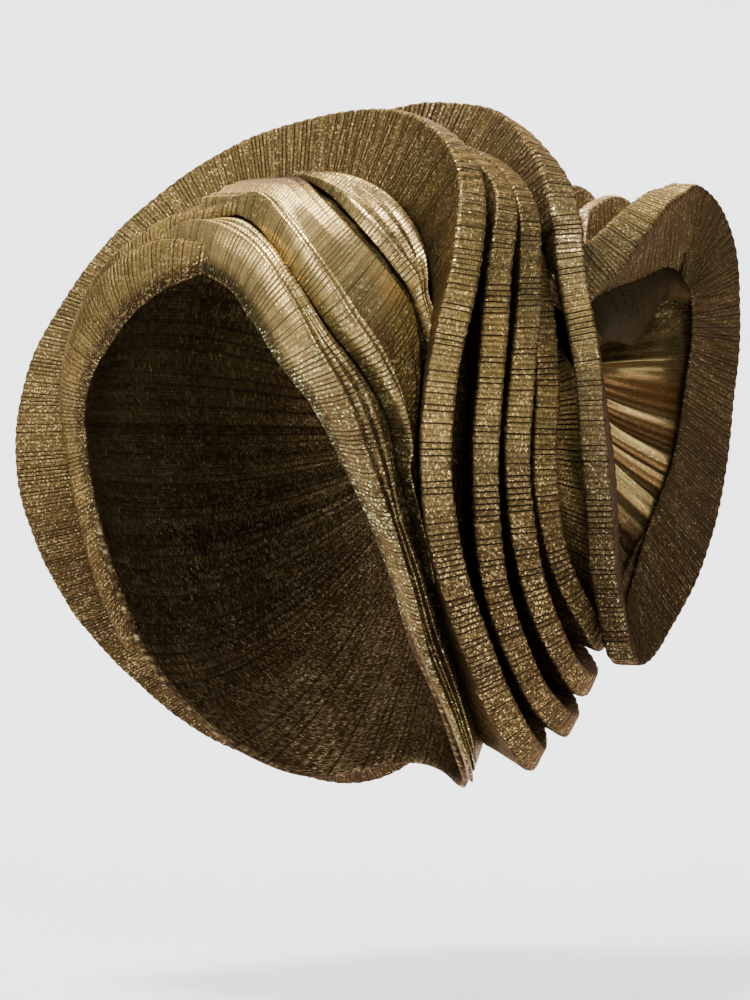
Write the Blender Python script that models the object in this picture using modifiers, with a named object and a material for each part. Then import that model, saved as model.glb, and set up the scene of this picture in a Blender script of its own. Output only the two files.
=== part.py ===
"""Tied head tie of folded striped cloth, worn form, held open as on a head.

Metres. +X is the wearer's left, -Y the front, +Z up. The origin is inside the crown, where the top
of the head bears. Every piece is a cloth wall lofted through a short table of sections.
"""
import math

import bmesh
import bpy
import numpy as np
from mathutils import Vector
from mathutils.bvhtree import BVHTree

# Head form, the inside of the cap
HEAD_HALF_WIDTH = 0.078
HEAD_HALF_LENGTH = 0.098
CROWN_RISE = 0.095
NAPE_DROP = 0.190
HEAD_ROUNDNESS = 2.2

# Cloth
CLOTH = 0.0018
LAY_GAP = 0.0009
ROLL_HEIGHT = 0.0058
GATHER_HEIGHT = 0.0042

# Halo and side pleats
HALO_REACH = 0.034
HALO_RIM = 0.012
PLEAT_REACH = 0.031
PLEAT_RIM = 0.011
FOLD_RADIUS = 0.0020

# Rosette
ROSETTE_RADIUS = 0.098
ROSETTE_RIM = 0.012
ROSETTE_FACE = 0.034
ROSETTE_BACK = 0.018
ROSETTE_AZIMUTH = 102.0
ROSETTE_SIDE = 1.28
ROSETTE_REARWARD = 1.05
ROSETTE_BELOW_CROWN = 0.99
BOWL_FULLNESS = 0.012
CENTRE_DEPTH = 0.016
CENTRE_RIDGE = 0.0035
CENTRE_GATHERS = 9
ROSETTE_DISH = 0.006
TIP_RIM = 0.006
CONE_SWELL = 0.004
BOWL_ANCHOR = (0.16, 0.43, 1.03)
KNOT = (50.0, 0.31, -0.27)

# Seats: what lies on the cap starts here, above the head form
CAP_TOP = CLOTH + LAY_GAP
BAND_TOP = CAP_TOP + CLOTH

# Cap edge, round the face and the neck. Columns: turn from the top towards the wearer's left in
# degrees, depth from front to back as a share of HEAD_HALF_LENGTH
CAP_EDGE = (
    (12, -0.846), (40, -0.858), (66, -0.830), (87, -0.740), (105, -0.650), (120, -0.540),
    (131, -0.430), (140, -0.310), (148, -0.080), (155, 0.150), (162, 0.420), (171, 0.660),
    (180, 0.730), (189, 0.660), (199, 0.400), (208, 0.080), (218, -0.230), (230, -0.410),
    (246, -0.570), (262, -0.690), (282, -0.835), (308, -0.915), (332, -0.930), (352, -0.888),
)

# Bands on the cap. Columns: turn and depth of the edge by the face, turn and depth of the other
# edge, share of the roll's height
RIGHT_HEM_ROLL = (
    (6, -0.850, 5, -0.822, 0.4), (-5, -0.874, -5, -0.836, 0.8), (-18, -0.895, -17, -0.845, 0.9),
    (-34, -0.905, -32, -0.848, 0.9), (-52, -0.892, -50, -0.825, 0.9), (-78, -0.812, -76, -0.735, 0.9),
    (-98, -0.665, -97, -0.595, 0.9), (-114, -0.545, -113, -0.475, 0.9), (-130, -0.385, -129, -0.320, 0.9),
    (-140, -0.240, -139, -0.185, 0.6),
)
RIGHT_TUCK_ROLL = (
    (1, -0.712, 1, -0.667, 0.5), (-8, -0.770, -8, -0.720, 0.9), (-20, -0.822, -19, -0.768, 1.0),
    (-34, -0.824, -33, -0.765, 1.0), (-52, -0.798, -51, -0.740, 1.0), (-72, -0.718, -71, -0.662, 0.9),
    (-88, -0.636, -87, -0.592, 0.6),
)
FRONT_HEM_BAND = (
    (-9, -0.800, -8, -0.774, 0.4), (1, -0.803, 2, -0.728, 0.8), (13, -0.828, 13, -0.690, 1.0),
    (27, -0.834, 27, -0.715, 1.0), (43, -0.840, 42, -0.732, 1.0), (66, -0.810, 62, -0.692, 1.0),
    (87, -0.720, 82, -0.562, 1.0), (105, -0.630, 100, -0.480, 1.0), (120, -0.520, 114, -0.432, 1.0),
    (131, -0.410, 126, -0.315, 1.0), (140, -0.285, 136, -0.180, 1.0), (149, -0.010, 146, 0.040, 0.8),
    (157, 0.270, 155, 0.300, 0.5),
)
FRONT_WRAP_BAND = (
    (7, -0.645, 5, -0.270, 0.5), (15, -0.662, 9, -0.260, 1.0), (28, -0.705, 21, -0.375, 1.0),
    (42, -0.718, 34, -0.415, 1.0), (60, -0.680, 47, -0.380, 1.0), (76, -0.585, 60, -0.315, 1.0),
    (88, -0.505, 74, -0.335, 1.0), (97, -0.468, 90, -0.372, 1.0), (104, -0.448, 98, -0.378, 0.6),
)
CROWN_GATHER = (
    (4, -0.215, 4, -0.085, 0.3), (19, -0.310, 18, -0.055, 0.7), (33, -0.360, 32, -0.085, 1.0),
    (46, -0.335, 44, -0.135, 1.0), (54, -0.300, 52, -0.215, 1.0), (60, -0.295, 58, -0.240, 0.6),
)

# Height across a band. Columns: share of the way across, share of the height
HEM_PROFILE = ((0.0, 0.0), (0.03, 0.55), (0.12, 1.0), (0.26, 0.85), (0.36, 0.30), (0.62, 0.16), (1.0, 0.0))
ROLL_PROFILE = ((0.0, 0.0), (0.07, 0.55), (0.28, 1.0), (0.66, 0.95), (0.92, 0.50), (1.0, 0.0))
WRAP_PROFILE = ((0.0, 0.0), (0.02, 0.60), (0.07, 0.8), (0.15, 0.45), (0.45, 0.20), (0.8, 0.12), (1.0, 0.0))
GATHER_PROFILE = ((0.0, 0.1), (0.12, 1.0), (0.28, 0.35), (0.44, 0.95), (0.60, 0.35), (0.78, 1.0), (1.0, 0.1))

# Folds that stand on the cap. Columns: turn, depth, reach share, lean towards the front in degrees
HALO = (
    (-176, 0.80, 0.26, 6), (-160, 0.54, 0.42, 12), (-146, 0.20, 0.65, 24), (-128, -0.18, 0.88, 24),
    (-104, -0.42, 0.97, 16), (-78, -0.46, 0.84, 8), (-52, -0.32, 0.64, -2), (-25, -0.12, 0.54, -8),
    (0, 0.00, 0.72, -10), (20, 0.03, 0.98, -6), (37, 0.00, 1.04, 10), (56, -0.12, 1.00, 28),
    (80, -0.26, 0.79, 38), (105, -0.28, 0.74, 40), (125, -0.20, 0.71, 36), (140, 0.00, 0.74, 30),
    (150, 0.26, 0.74, 20), (156, 0.50, 0.66, 8), (160, 0.72, 0.50, 0),
)
SIDE_PLEAT_1 = (
    (22, 0.165, 0.90, 0), (40, 0.145, 1.10, 9), (60, 0.060, 1.02, 34), (82, 0.000, 0.87, 44),
    (105, -0.010, 0.81, 46), (125, 0.050, 0.77, 42), (140, 0.240, 0.86, 32), (150, 0.500, 1.02, 16),
    (155, 0.720, 0.80, 4),
)
SIDE_PLEAT_2 = (
    (20, 0.290, 0.92, 0), (40, 0.275, 1.16, 14), (60, 0.235, 1.02, 34), (82, 0.205, 0.87, 47),
    (105, 0.200, 0.84, 49), (125, 0.270, 0.84, 41), (140, 0.450, 1.00, 27), (149, 0.680, 1.12, 10),
    (153, 0.830, 0.78, 2),
)
SIDE_PLEAT_3 = (
    (22, 0.405, 0.72, 4), (42, 0.400, 0.78, 16), (60, 0.390, 0.74, 32), (82, 0.385, 0.70, 41),
    (105, 0.385, 0.67, 42), (123, 0.445, 0.76, 33), (137, 0.590, 1.07, 20), (146, 0.785, 1.15, 6),
)

# Crest and ring, one long fold. Columns: turn round the rosette's axis in degrees (0 front, 90 up),
# radius share, out share of ROSETTE_RADIUS, share of the head's own outward direction, lean in
# degrees, share of ROSETTE_FACE, share of ROSETTE_BACK
ROSETTE_RING = (
    (80, 1.31, -1.10, 1.0, 0, 1.3, 2.3), (82, 1.33, -0.94, 1.0, 0, 1.3, 2.3),
    (83, 1.32, -0.77, 0.9, 0, 1.2, 2.2), (82, 1.29, -0.61, 0.8, 0, 1.1, 2.2),
    (79, 1.24, -0.48, 0.7, 0, 1.0, 2.2), (74, 1.17, -0.36, 0.6, 0, 0.8, 2.2),
    (67, 1.08, -0.23, 0.4, 0, 0.6, 2.0), (59, 0.995, -0.15, 0.25, 0, 0.5, 1.8),
    (51, 0.91, -0.11, 0.12, 0, 0.5, 1.6), (19, 0.69, -0.01, 0.0, 0, 0.7, 1.0),
    (-25, 0.635, 0.0, 0.0, 0, 0.9, 1.0), (-58, 0.85, 0.0, 0.0, 0, 0.75, 1.0),
    (-76, 1.02, 0.01, 0.0, 0, 0.55, 0.9), (-98, 0.86, 0.03, 0.0, 0, 0.75, 1.0),
    (-118, 0.73, 0.07, 0.0, 0, 1.0, 1.0), (-150, 0.65, 0.10, 0.0, 0, 1.0, 1.0),
    (-185, 0.73, 0.10, 0.0, 0, 1.0, 1.0), (-213, 0.93, 0.12, 0.0, 0, 1.0, 1.0),
    (-232, 1.07, 0.12, 0.0, 0, 1.0, 1.0), (-252, 1.07, 0.09, 0.0, 6, 1.0, 1.0),
    (-267, 0.965, 0.05, 0.0, 16, 1.0, 0.9), (-281, 0.85, 0.03, 0.0, 26, 1.0, 0.6),
    (-299, 0.73, 0.02, 0.0, 30, 0.8, 0.4), (-310, 0.71, 0.04, 0.0, 30, 0.6, 0.3),
)
# Loose fold ends between crest and ring. Columns: turn, radius share, out share
FOLD_TIP_1 = ((92, 0.99, -0.44), (98, 1.03, -0.44), (105, 1.07, -0.44), (113, 1.10, -0.44))
FOLD_TIP_2 = ((90, 0.91, -0.29), (99, 0.97, -0.29), (108, 1.04, -0.29), (117, 1.10, -0.29))

# Closed loops round the rosette's axis. Columns: turn, radius share, out share, share of BOWL_FULLNESS
BOWL_EDGE = (
    (19, 0.54, -0.17, 0.0), (-3, 0.46, -0.15, 0.0), (-25, 0.48, -0.145, 0.1), (-58, 0.69, -0.145, 0.1),
    (-76, 0.86, -0.135, 0.1), (-98, 0.70, -0.115, 0.4), (-118, 0.55, -0.08, 0.8), (-150, 0.46, -0.05, 1.0),
    (-185, 0.53, -0.05, 1.0), (-213, 0.72, -0.05, 0.8), (-232, 0.84, -0.05, 0.4), (-252, 0.84, -0.12, 0.1),
    (-270, 0.78, -0.19, 0.0), (-290, 0.70, -0.26, 0.0), (-310, 0.60, -0.31, 0.0), (-327, 0.57, -0.25, 0.0),
)
# Columns: turn, radius share, out share
CENTRE_EDGE = (
    (19, 0.46, -0.13), (-3, 0.36, -0.12), (-25, 0.33, -0.115), (-58, 0.52, -0.11), (-76, 0.69, -0.10),
    (-98, 0.53, -0.08), (-118, 0.405, -0.04), (-150, 0.325, -0.01), (-185, 0.405, -0.01),
    (-213, 0.605, 0.00), (-232, 0.740, 0.00), (-252, 0.710, -0.155), (-270, 0.59, -0.285),
    (-290, 0.52, -0.315), (-310, 0.47, -0.275), (-327, 0.45, -0.17),
)

# Smooth sheet over the pocket. Columns: turn, radius and out of the edge under the ring, then turn,
# radius and out of the free lip
CONE = (
    (-314, 0.53, -0.175, -319, 0.40, -0.13), (-300, 0.50, -0.235, -292, 0.33, -0.15),
    (-282, 0.550, -0.260, -264, 0.31, -0.14), (-266, 0.625, -0.225, -252, 0.40, -0.10),
    (-250, 0.700, -0.115, -242, 0.55, -0.04),
)


def smooth_rows(padded, count, spans):
    """Rows of a smooth curve through a table that has one spare row at each end."""
    places = np.linspace(0.0, spans, count)
    start = np.minimum(places.astype(int), len(padded) - 4)
    share = (places - start)[:, None]
    before, first, second, after = (padded[start + step] for step in range(4))
    bend = 2 * before - 5 * first + 4 * second - after
    twist = 3 * first - before - 3 * second + after
    return first + 0.5 * share * (second - before + share * (bend + share * twist))


def open_rows(table, count):
    """Rows evenly along an open table."""
    rows = np.array(table, float)
    padded = np.vstack([2 * rows[0] - rows[1], rows, 2 * rows[-1] - rows[-2]])
    return smooth_rows(padded, count, len(rows) - 1)


def loop_rows(table, count, full_turn):
    """Rows evenly round a closed table, whose first column gains full_turn in one round."""
    rows = np.array(table, float)
    round_on = np.zeros(rows.shape[1])
    round_on[0] = full_turn
    padded = np.vstack([rows[-1] - round_on, rows, rows[0] + round_on, rows[1] + round_on])
    return smooth_rows(padded, count + 1, len(rows))[:-1]


def unit(vectors):
    return vectors / np.linalg.norm(vectors, axis=-1, keepdims=True)


def head_point(turn, depth, lift):
    """A point lift metres above the head form, by turn round the front-back axis and depth."""
    angle = np.radians(turn)
    side = np.abs(np.sin(angle)) / (HEAD_HALF_WIDTH + lift)
    rise = np.abs(np.cos(angle)) / (np.where(np.cos(angle) > 0, CROWN_RISE, NAPE_DROP) + lift)
    along = np.asarray(depth) * HEAD_HALF_LENGTH
    left = np.clip(1 - (np.abs(along) / (HEAD_HALF_LENGTH + lift)) ** HEAD_ROUNDNESS, 0, 1)
    radius = (left / (side ** HEAD_ROUNDNESS + rise ** HEAD_ROUNDNESS)) ** (1 / HEAD_ROUNDNESS)
    return np.stack([np.sin(angle) * radius, along + 0 * radius, np.cos(angle) * radius - CROWN_RISE], -1)


def head_parts(points, lift):
    """The head form's three shares at some points. They add up to 1 on the form."""
    x, y, z = points[..., 0], points[..., 1], points[..., 2] + CROWN_RISE
    halves = np.stack([
        HEAD_HALF_WIDTH + lift + 0 * x, HEAD_HALF_LENGTH + lift + 0 * x,
        np.where(z > 0, CROWN_RISE, NAPE_DROP) + lift,
    ], -1)
    centred = np.stack([x, y, z], -1)
    return centred, halves, (np.abs(centred) / halves) ** HEAD_ROUNDNESS


def head_outward(points, lift=0.0):
    centred, halves, parts = head_parts(points, lift)
    slope = np.sign(centred) * (np.abs(centred) / halves) ** (HEAD_ROUNDNESS - 1) / halves
    return unit(slope)


def drop_to_cap(points, outward, longest, lift=CAP_TOP):
    """How far each point goes against outward before it meets the cap, at most longest."""
    lengths = np.linspace(0.0, 1.0, 161)[:, None] * np.asarray(longest)[None, :]
    path = points[None] - outward[None] * lengths[..., None]
    inside = head_parts(path, lift)[2].sum(-1) < 1
    first = np.where(inside.any(0), inside.argmax(0), len(lengths) - 1)
    return lengths[first, np.arange(len(points))]


def path_frames(path, outward):
    """Along, out and across at each point of a path."""
    along = unit(np.gradient(path, axis=0))
    out = unit(outward - (outward * along).sum(-1, keepdims=True) * along)
    return along, out, np.cross(along, out)


def folded_section(front_foot, front_fold, back_fold, back_foot):
    """The section of a fold with a flat rim, its two corners eased."""
    ease = FOLD_RADIUS
    down = unit(front_foot - front_fold)
    over = unit(back_fold - front_fold)
    under = unit(back_foot - back_fold)
    return np.stack([
        front_foot, front_fold + down * ease, front_fold + over * ease,
        back_fold - over * ease, back_fold + under * ease, back_foot,
    ], 1)


def standing_fold(table, reach, rim, count):
    """A folded flange that stands on the cap, open towards it."""
    turn, depth, reach_share, lean = open_rows(table, count).T
    root = head_point(turn, depth, CAP_TOP)
    _, out, across = path_frames(root, head_outward(root))
    lean = np.radians(lean)[:, None]
    leant_out = out * np.cos(lean) + across * np.sin(lean)
    leant_across = across * np.cos(lean) - out * np.sin(lean)
    top = root + leant_out * (reach * reach_share)[:, None]
    half = rim / 2
    front_foot = root + across * half + out * CLOTH * np.clip(-np.sin(lean), 0, 1)
    back_foot = root - across * half + out * CLOTH * np.clip(np.sin(lean), 0, 1)
    return folded_section(front_foot, top + leant_across * half, top - leant_across * half, back_foot)


def rosette_frame():
    """The rosette's centre, its axis out to the side, its forward and its upward direction."""
    azimuth = math.radians(ROSETTE_AZIMUTH)
    centre = np.array([
        ROSETTE_SIDE * HEAD_HALF_WIDTH, ROSETTE_REARWARD * HEAD_HALF_LENGTH, -ROSETTE_BELOW_CROWN * CROWN_RISE,
    ])
    axis = np.array([math.sin(azimuth), -math.cos(azimuth), 0.0])
    forward = np.array([-math.cos(azimuth), -math.sin(azimuth), 0.0])
    return centre, axis, forward, np.array([0.0, 0.0, 1.0])


def rosette_point(turn, radius, out):
    centre, axis, forward, up = rosette_frame()
    angle = np.radians(turn)[..., None]
    spoke = np.cos(angle) * forward + np.sin(angle) * up
    size = ROSETTE_RADIUS
    return centre + spoke * (np.asarray(radius) * size)[..., None] + axis * (np.asarray(out) * size)[..., None]


def ring_fold(table, rim, count):
    """A folded flange along a path round the rosette's axis. It stops short of the cap."""
    turn, radius, out, by_head, lean, face, back = open_rows(table, count).T
    centre, axis, _, _ = rosette_frame()
    path = rosette_point(turn, radius, out)
    spoke = unit(rosette_point(turn, radius + 1, out) - path)
    by_head = np.clip(by_head, 0, 1)[:, None]
    _, outward, across = path_frames(path, unit(by_head * head_outward(path) + (1 - by_head) * spoke))
    across = across * np.sign((across @ axis).mean())
    lean = np.radians(lean)[:, None]
    leant_out = outward * np.cos(lean) + across * np.sin(lean)
    leant_across = across * np.cos(lean) - outward * np.sin(lean)
    back_fold = path - leant_across * rim
    dish = ROSETTE_DISH * np.clip(1 - 2 * by_head, 0, 1)
    face_length = drop_to_cap(path, leant_out, face * ROSETTE_FACE)[:, None]
    back_length = drop_to_cap(back_fold, leant_out, back * ROSETTE_BACK)[:, None]
    return folded_section(
        path - leant_out * face_length - leant_across * dish, path, back_fold, back_fold - leant_out * back_length,
    )


def tip_fold(table, rim, wall, count):
    """A narrow fold that stands on a wall round the rosette's axis."""
    turn, radius, out = open_rows(table, count).T
    path = rosette_point(turn, radius, out)
    spoke = unit(rosette_point(turn, radius + 1, out) - path)
    back = rosette_point(turn, radius, out - rim / ROSETTE_RADIUS)
    feet = []
    for start in (path, back):
        lengths = []
        for point, upward in zip(start, spoke):
            _, normal, _, length = wall.ray_cast(Vector(point), Vector(-upward))
            level = abs(normal.dot(Vector(upward)))
            lengths.append(length - (LAY_GAP + CLOTH * math.sqrt(1 - level ** 2)) / level)
        feet.append(start - spoke * np.array(lengths)[:, None])
    return folded_section(feet[0], path, back, feet[1])


def cap_surface(loop_count=40, row_count=9):
    """The inside of the cap, from its edge to the point at the back of the head."""
    turn, depth = loop_rows(CAP_EDGE, loop_count, 360).T
    edge = np.arcsin(np.clip(depth, -1, 1))
    rows = [
        head_point(turn, np.sin(edge + (math.pi / 2 - edge) * row / row_count), 0.0)
        for row in range(row_count)
    ]
    return np.stack(rows), np.array([0.0, HEAD_HALF_LENGTH, -CROWN_RISE])


def band_faces(table, profile, height, count):
    """The top and the underside of a rolled or layered band that lies on the cap."""
    face_turn, face_depth, far_turn, far_depth, share = open_rows(table, count).T
    top = []
    under = []
    for across, lift in profile:
        turn = face_turn + (far_turn - face_turn) * across
        depth = face_depth + (far_depth - face_depth) * across
        top.append(head_point(turn, depth, BAND_TOP + lift * height * share))
        under.append(head_point(turn, depth, CAP_TOP))
    return np.stack(top, 1), np.stack(under, 1)


def bowl_surface(count=30, row_count=5):
    """The outer wall of the rosette, from behind its ring to the cap."""
    turn, radius, out, fullness = loop_rows(BOWL_EDGE, count, -360).T
    edge = rosette_point(turn, radius, out)
    centre, _, _, _ = rosette_frame()
    anchor = centre * np.array(BOWL_ANCHOR)
    inward = unit(edge - anchor)
    reach = drop_to_cap(edge, inward, np.linalg.norm(edge - anchor, axis=1))
    root = edge - inward * reach[:, None]
    middle = edge.mean(0)
    swell = unit(edge - middle) * (BOWL_FULLNESS * fullness)[:, None]
    rows = []
    for row in range(row_count):
        share = row / (row_count - 1)
        rows.append(edge + (root - edge) * share + swell * math.sin(math.pi * share))
    return np.stack(rows)


def centre_surface(count=36, row_count=6):
    """The gathered cloth inside the ring, from its edge to the knot where the gathers meet."""
    turn, radius, out = loop_rows(CENTRE_EDGE, count, -360).T
    edge = rosette_point(turn, radius, out)
    _, axis, _, _ = rosette_frame()
    knot = rosette_point(np.array(KNOT[0]), KNOT[1], KNOT[2])
    gathers = np.cos(np.radians(turn) * CENTRE_GATHERS)
    hollow = 1 - 0.6 * np.clip(np.sin(np.radians(turn)), 0, 1)
    rows = []
    for row in range(row_count):
        share = row / row_count
        sink = (CENTRE_DEPTH * hollow + CENTRE_RIDGE * gathers * (1 - share) ** 1.5) * math.sin(math.pi * share)
        rows.append(edge + (knot - edge) * share - axis * np.reshape(sink, (-1, 1)))
    return np.stack(rows), knot


def cone_surface(count=13, row_count=4):
    """The smooth sheet from under the ring to its free lip."""
    rows = open_rows(CONE, count)
    edge = rosette_point(*rows[:, :3].T)
    lip = rosette_point(*rows[:, 3:].T)
    _, axis, _, _ = rosette_frame()
    shares = np.linspace(0, 1, row_count)
    swell = (CONE_SWELL * np.sin(math.pi * shares))[:, None, None] * axis
    return edge[None] + (lip - edge)[None] * shares[:, None, None] + swell


def build_mesh(name, grid, closed=False, tip=None):
    """One open surface from a grid of points. A closed grid joins its last column to its first."""
    mesh = bmesh.new()
    rows, columns = grid.shape[:2]
    verts = [[mesh.verts.new(point) for point in row] for row in grid]
    spans = columns if closed else columns - 1
    for row in range(rows - 1):
        for column in range(spans):
            beside = (column + 1) % columns
            mesh.faces.new((verts[row][column], verts[row][beside], verts[row + 1][beside], verts[row + 1][column]))
    if tip is not None:
        top = mesh.verts.new(tip)
        for column in range(spans):
            mesh.faces.new((verts[-1][column], verts[-1][(column + 1) % columns], top))
    data = bpy.data.meshes.new(name)
    mesh.to_mesh(data)
    mesh.free()
    return data


def build_laid(name, top, under):
    """A closed body between a top grid and an underside grid of the same size."""
    mesh = bmesh.new()
    rows, columns = top.shape[:2]
    upper = [[mesh.verts.new(point) for point in row] for row in top]
    lower = [[mesh.verts.new(point) for point in row] for row in under]
    for row in range(rows - 1):
        for column in range(columns - 1):
            corners = ((row, column), (row, column + 1), (row + 1, column + 1), (row + 1, column))
            mesh.faces.new([upper[at][beside] for at, beside in corners])
            mesh.faces.new([lower[at][beside] for at, beside in reversed(corners)])
    border = [(0, column) for column in range(columns)]
    border += [(row, columns - 1) for row in range(1, rows)]
    border += [(rows - 1, column) for column in range(columns - 2, -1, -1)]
    border += [(row, 0) for row in range(rows - 2, 0, -1)]
    for (row, column), (far_row, far_column) in zip(border, border[1:] + border[:1]):
        mesh.faces.new((
            upper[row][column], lower[row][column], lower[far_row][far_column], upper[far_row][far_column],
        ))
    bmesh.ops.recalc_face_normals(mesh, faces=mesh.faces)
    data = bpy.data.meshes.new(name)
    mesh.to_mesh(data)
    mesh.free()
    return data


def face_outwards(data, outward):
    """Turn the whole surface over if most of its faces look against outward."""
    score = sum(face.area * face.normal.dot(outward(np.array(face.center))) for face in data.polygons)
    if score < 0:
        data.flip_normals()


def finish_material(name, colour, roughness):
    material = bpy.data.materials.new(name)
    material.use_nodes = True
    shader = material.node_tree.nodes["Principled BSDF"]
    shader.inputs["Base Color"].default_value = (*colour, 1.0)
    shader.inputs["Metallic"].default_value = 0.85
    shader.inputs["Roughness"].default_value = roughness
    return material


def add_piece(collection, name, data, colour, roughness=0.38):
    piece = bpy.data.objects.new(name, data)
    collection.objects.link(piece)
    data.materials.append(finish_material(name + "_cloth", colour, roughness))
    data.shade_smooth()
    data.set_sharp_from_angle(angle=math.radians(40))
    return piece


def add_cloth(collection, name, data, outward, colour, inward=True):
    """Give a surface its cloth thickness and put it in the collection."""
    face_outwards(data, outward)
    piece = add_piece(collection, name, data, colour)
    wall = piece.modifiers.new("wall", "SOLIDIFY")
    wall.thickness = CLOTH
    wall.offset = -1.0 if inward else 1.0
    wall.use_even_offset = True
    wall.use_quality_normals = True
    return piece


def from_head(point):
    return head_outward(point[None])[0]


def add_fold(collection, name, section, colour):
    """A flange whose outside is away from the middle line between its two feet."""
    middle = (section[:, 0] + section[:, -1]) / 2
    data = build_mesh(name, section)

    def outward(point):
        nearest = middle[np.argmin(np.linalg.norm(middle - point, axis=1))]
        return point - nearest
    return add_cloth(collection, name, data, outward, colour)


GOLD = (0.36, 0.25, 0.10)
GOLD_RIM = (0.42, 0.31, 0.13)
GOLD_BRIGHT = (0.58, 0.41, 0.14)
GOLD_BROWN = (0.26, 0.17, 0.08)


def main():
    for old in list(bpy.data.objects):
        bpy.data.objects.remove(old)
    parts = bpy.data.collections.new("tied_head_tie")
    bpy.context.scene.collection.children.link(parts)

    grid, back_point = cap_surface()
    add_cloth(parts, "cap", build_mesh("cap", grid, True, back_point), from_head, GOLD_BROWN, inward=False)

    bands = (
        ("right_hem_roll", RIGHT_HEM_ROLL, ROLL_PROFILE, ROLL_HEIGHT, 34, GOLD),
        ("right_tuck_roll", RIGHT_TUCK_ROLL, ROLL_PROFILE, ROLL_HEIGHT * 0.8, 20, GOLD),
        ("front_hem_band", FRONT_HEM_BAND, HEM_PROFILE, ROLL_HEIGHT, 34, GOLD_BRIGHT),
        ("front_wrap_band", FRONT_WRAP_BAND, WRAP_PROFILE, ROLL_HEIGHT, 22, GOLD_BRIGHT),
        ("crown_gather", CROWN_GATHER, GATHER_PROFILE, GATHER_HEIGHT, 14, GOLD_BRIGHT),
    )
    for name, table, profile, height, count, colour in bands:
        data = build_laid(name, *band_faces(table, profile, height, count))
        add_piece(parts, name, data, colour)

    add_fold(parts, "halo_ring", standing_fold(HALO, HALO_REACH, HALO_RIM, 52), GOLD_RIM)
    pleats = (SIDE_PLEAT_1, SIDE_PLEAT_2, SIDE_PLEAT_3)
    for number, table in enumerate(pleats, 1):
        add_fold(parts, f"side_pleat_{number}", standing_fold(table, PLEAT_REACH, PLEAT_RIM, 32), GOLD_RIM)

    add_fold(parts, "rosette_ring", ring_fold(ROSETTE_RING, ROSETTE_RIM, 64), GOLD_RIM)
    centre, axis, _, _ = rosette_frame()
    data = build_mesh("rosette_bowl", bowl_surface(), True)
    add_cloth(parts, "rosette_bowl", data, lambda point: point - centre, GOLD)
    corners = [vertex.co.copy() for vertex in data.vertices]
    wall = BVHTree.FromPolygons(corners, [list(face.vertices) for face in data.polygons])
    for number, table in enumerate((FOLD_TIP_1, FOLD_TIP_2), 1):
        add_fold(parts, f"fold_tip_{number}", tip_fold(table, TIP_RIM, wall, 8), GOLD)

    grid, knot = centre_surface()
    data = build_mesh("rosette_centre", grid, True, knot)
    add_cloth(parts, "rosette_centre", data, lambda point: axis, GOLD_BRIGHT)
    data = build_mesh("rosette_cone", cone_surface())
    add_cloth(parts, "rosette_cone", data, lambda point: axis, GOLD_BROWN)


main()
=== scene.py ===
"""Looks of the tied head tie: each cloth piece, fine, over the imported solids.

Metres. +X is the wearer's left, -Y the front, +Z up. Sizes and tables are the part's own.
"""
import math

import bpy
import numpy as np
from mathutils import Matrix, Vector
from mathutils.bvhtree import BVHTree


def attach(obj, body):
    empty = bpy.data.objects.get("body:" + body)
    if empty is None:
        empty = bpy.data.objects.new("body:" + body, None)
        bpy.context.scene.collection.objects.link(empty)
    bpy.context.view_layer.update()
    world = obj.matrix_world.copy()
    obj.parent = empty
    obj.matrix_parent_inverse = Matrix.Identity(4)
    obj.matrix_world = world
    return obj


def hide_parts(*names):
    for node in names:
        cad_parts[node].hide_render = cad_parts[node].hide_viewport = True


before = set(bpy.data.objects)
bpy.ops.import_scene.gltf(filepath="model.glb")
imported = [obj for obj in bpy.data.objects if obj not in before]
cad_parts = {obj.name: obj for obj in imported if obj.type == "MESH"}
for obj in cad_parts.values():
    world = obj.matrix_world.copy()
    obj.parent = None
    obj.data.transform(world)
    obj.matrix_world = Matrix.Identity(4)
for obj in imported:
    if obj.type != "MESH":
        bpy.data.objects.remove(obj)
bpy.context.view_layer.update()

# Head form, the inside of the cap
HEAD_HALF_WIDTH = 0.078
HEAD_HALF_LENGTH = 0.098
CROWN_RISE = 0.095
NAPE_DROP = 0.190
HEAD_ROUNDNESS = 2.2

# Cloth
CLOTH = 0.0018
LAY_GAP = 0.0009
ROLL_HEIGHT = 0.0058
GATHER_HEIGHT = 0.0042

# Halo and side pleats
HALO_REACH = 0.034
HALO_RIM = 0.012
PLEAT_REACH = 0.031
PLEAT_RIM = 0.011

# Rosette
ROSETTE_RADIUS = 0.098
ROSETTE_RIM = 0.012
ROSETTE_FACE = 0.034
ROSETTE_BACK = 0.018
ROSETTE_AZIMUTH = 102.0
ROSETTE_SIDE = 1.28
ROSETTE_REARWARD = 1.05
ROSETTE_BELOW_CROWN = 0.99
BOWL_FULLNESS = 0.012
CENTRE_DEPTH = 0.016
TIP_RIM = 0.006
CONE_SWELL = 0.004
# Where the bowl's folds run to, as shares of the way to the rosette's centre
BOWL_ANCHOR = (0.16, 0.43, 1.03)
# Where the centre's gathers meet: turn, radius share, out share
KNOT = (50.0, 0.31, -0.27)

# Seats: what lies on the cap starts here, above the head form
CAP_TOP = CLOTH + LAY_GAP
BAND_TOP = CAP_TOP + CLOTH

# Cap edge, round the face and the neck. Columns: turn from the top towards the wearer's left in
# degrees, depth from front to back as a share of HEAD_HALF_LENGTH
CAP_EDGE = (
    (12, -0.846), (40, -0.858), (66, -0.830), (87, -0.740), (105, -0.650), (120, -0.540),
    (131, -0.430), (140, -0.310), (148, -0.080), (155, 0.150), (162, 0.420), (171, 0.660),
    (180, 0.730), (189, 0.660), (199, 0.400), (208, 0.080), (218, -0.230), (230, -0.410),
    (246, -0.570), (262, -0.690), (282, -0.835), (308, -0.915), (332, -0.930), (352, -0.888),
)

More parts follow.
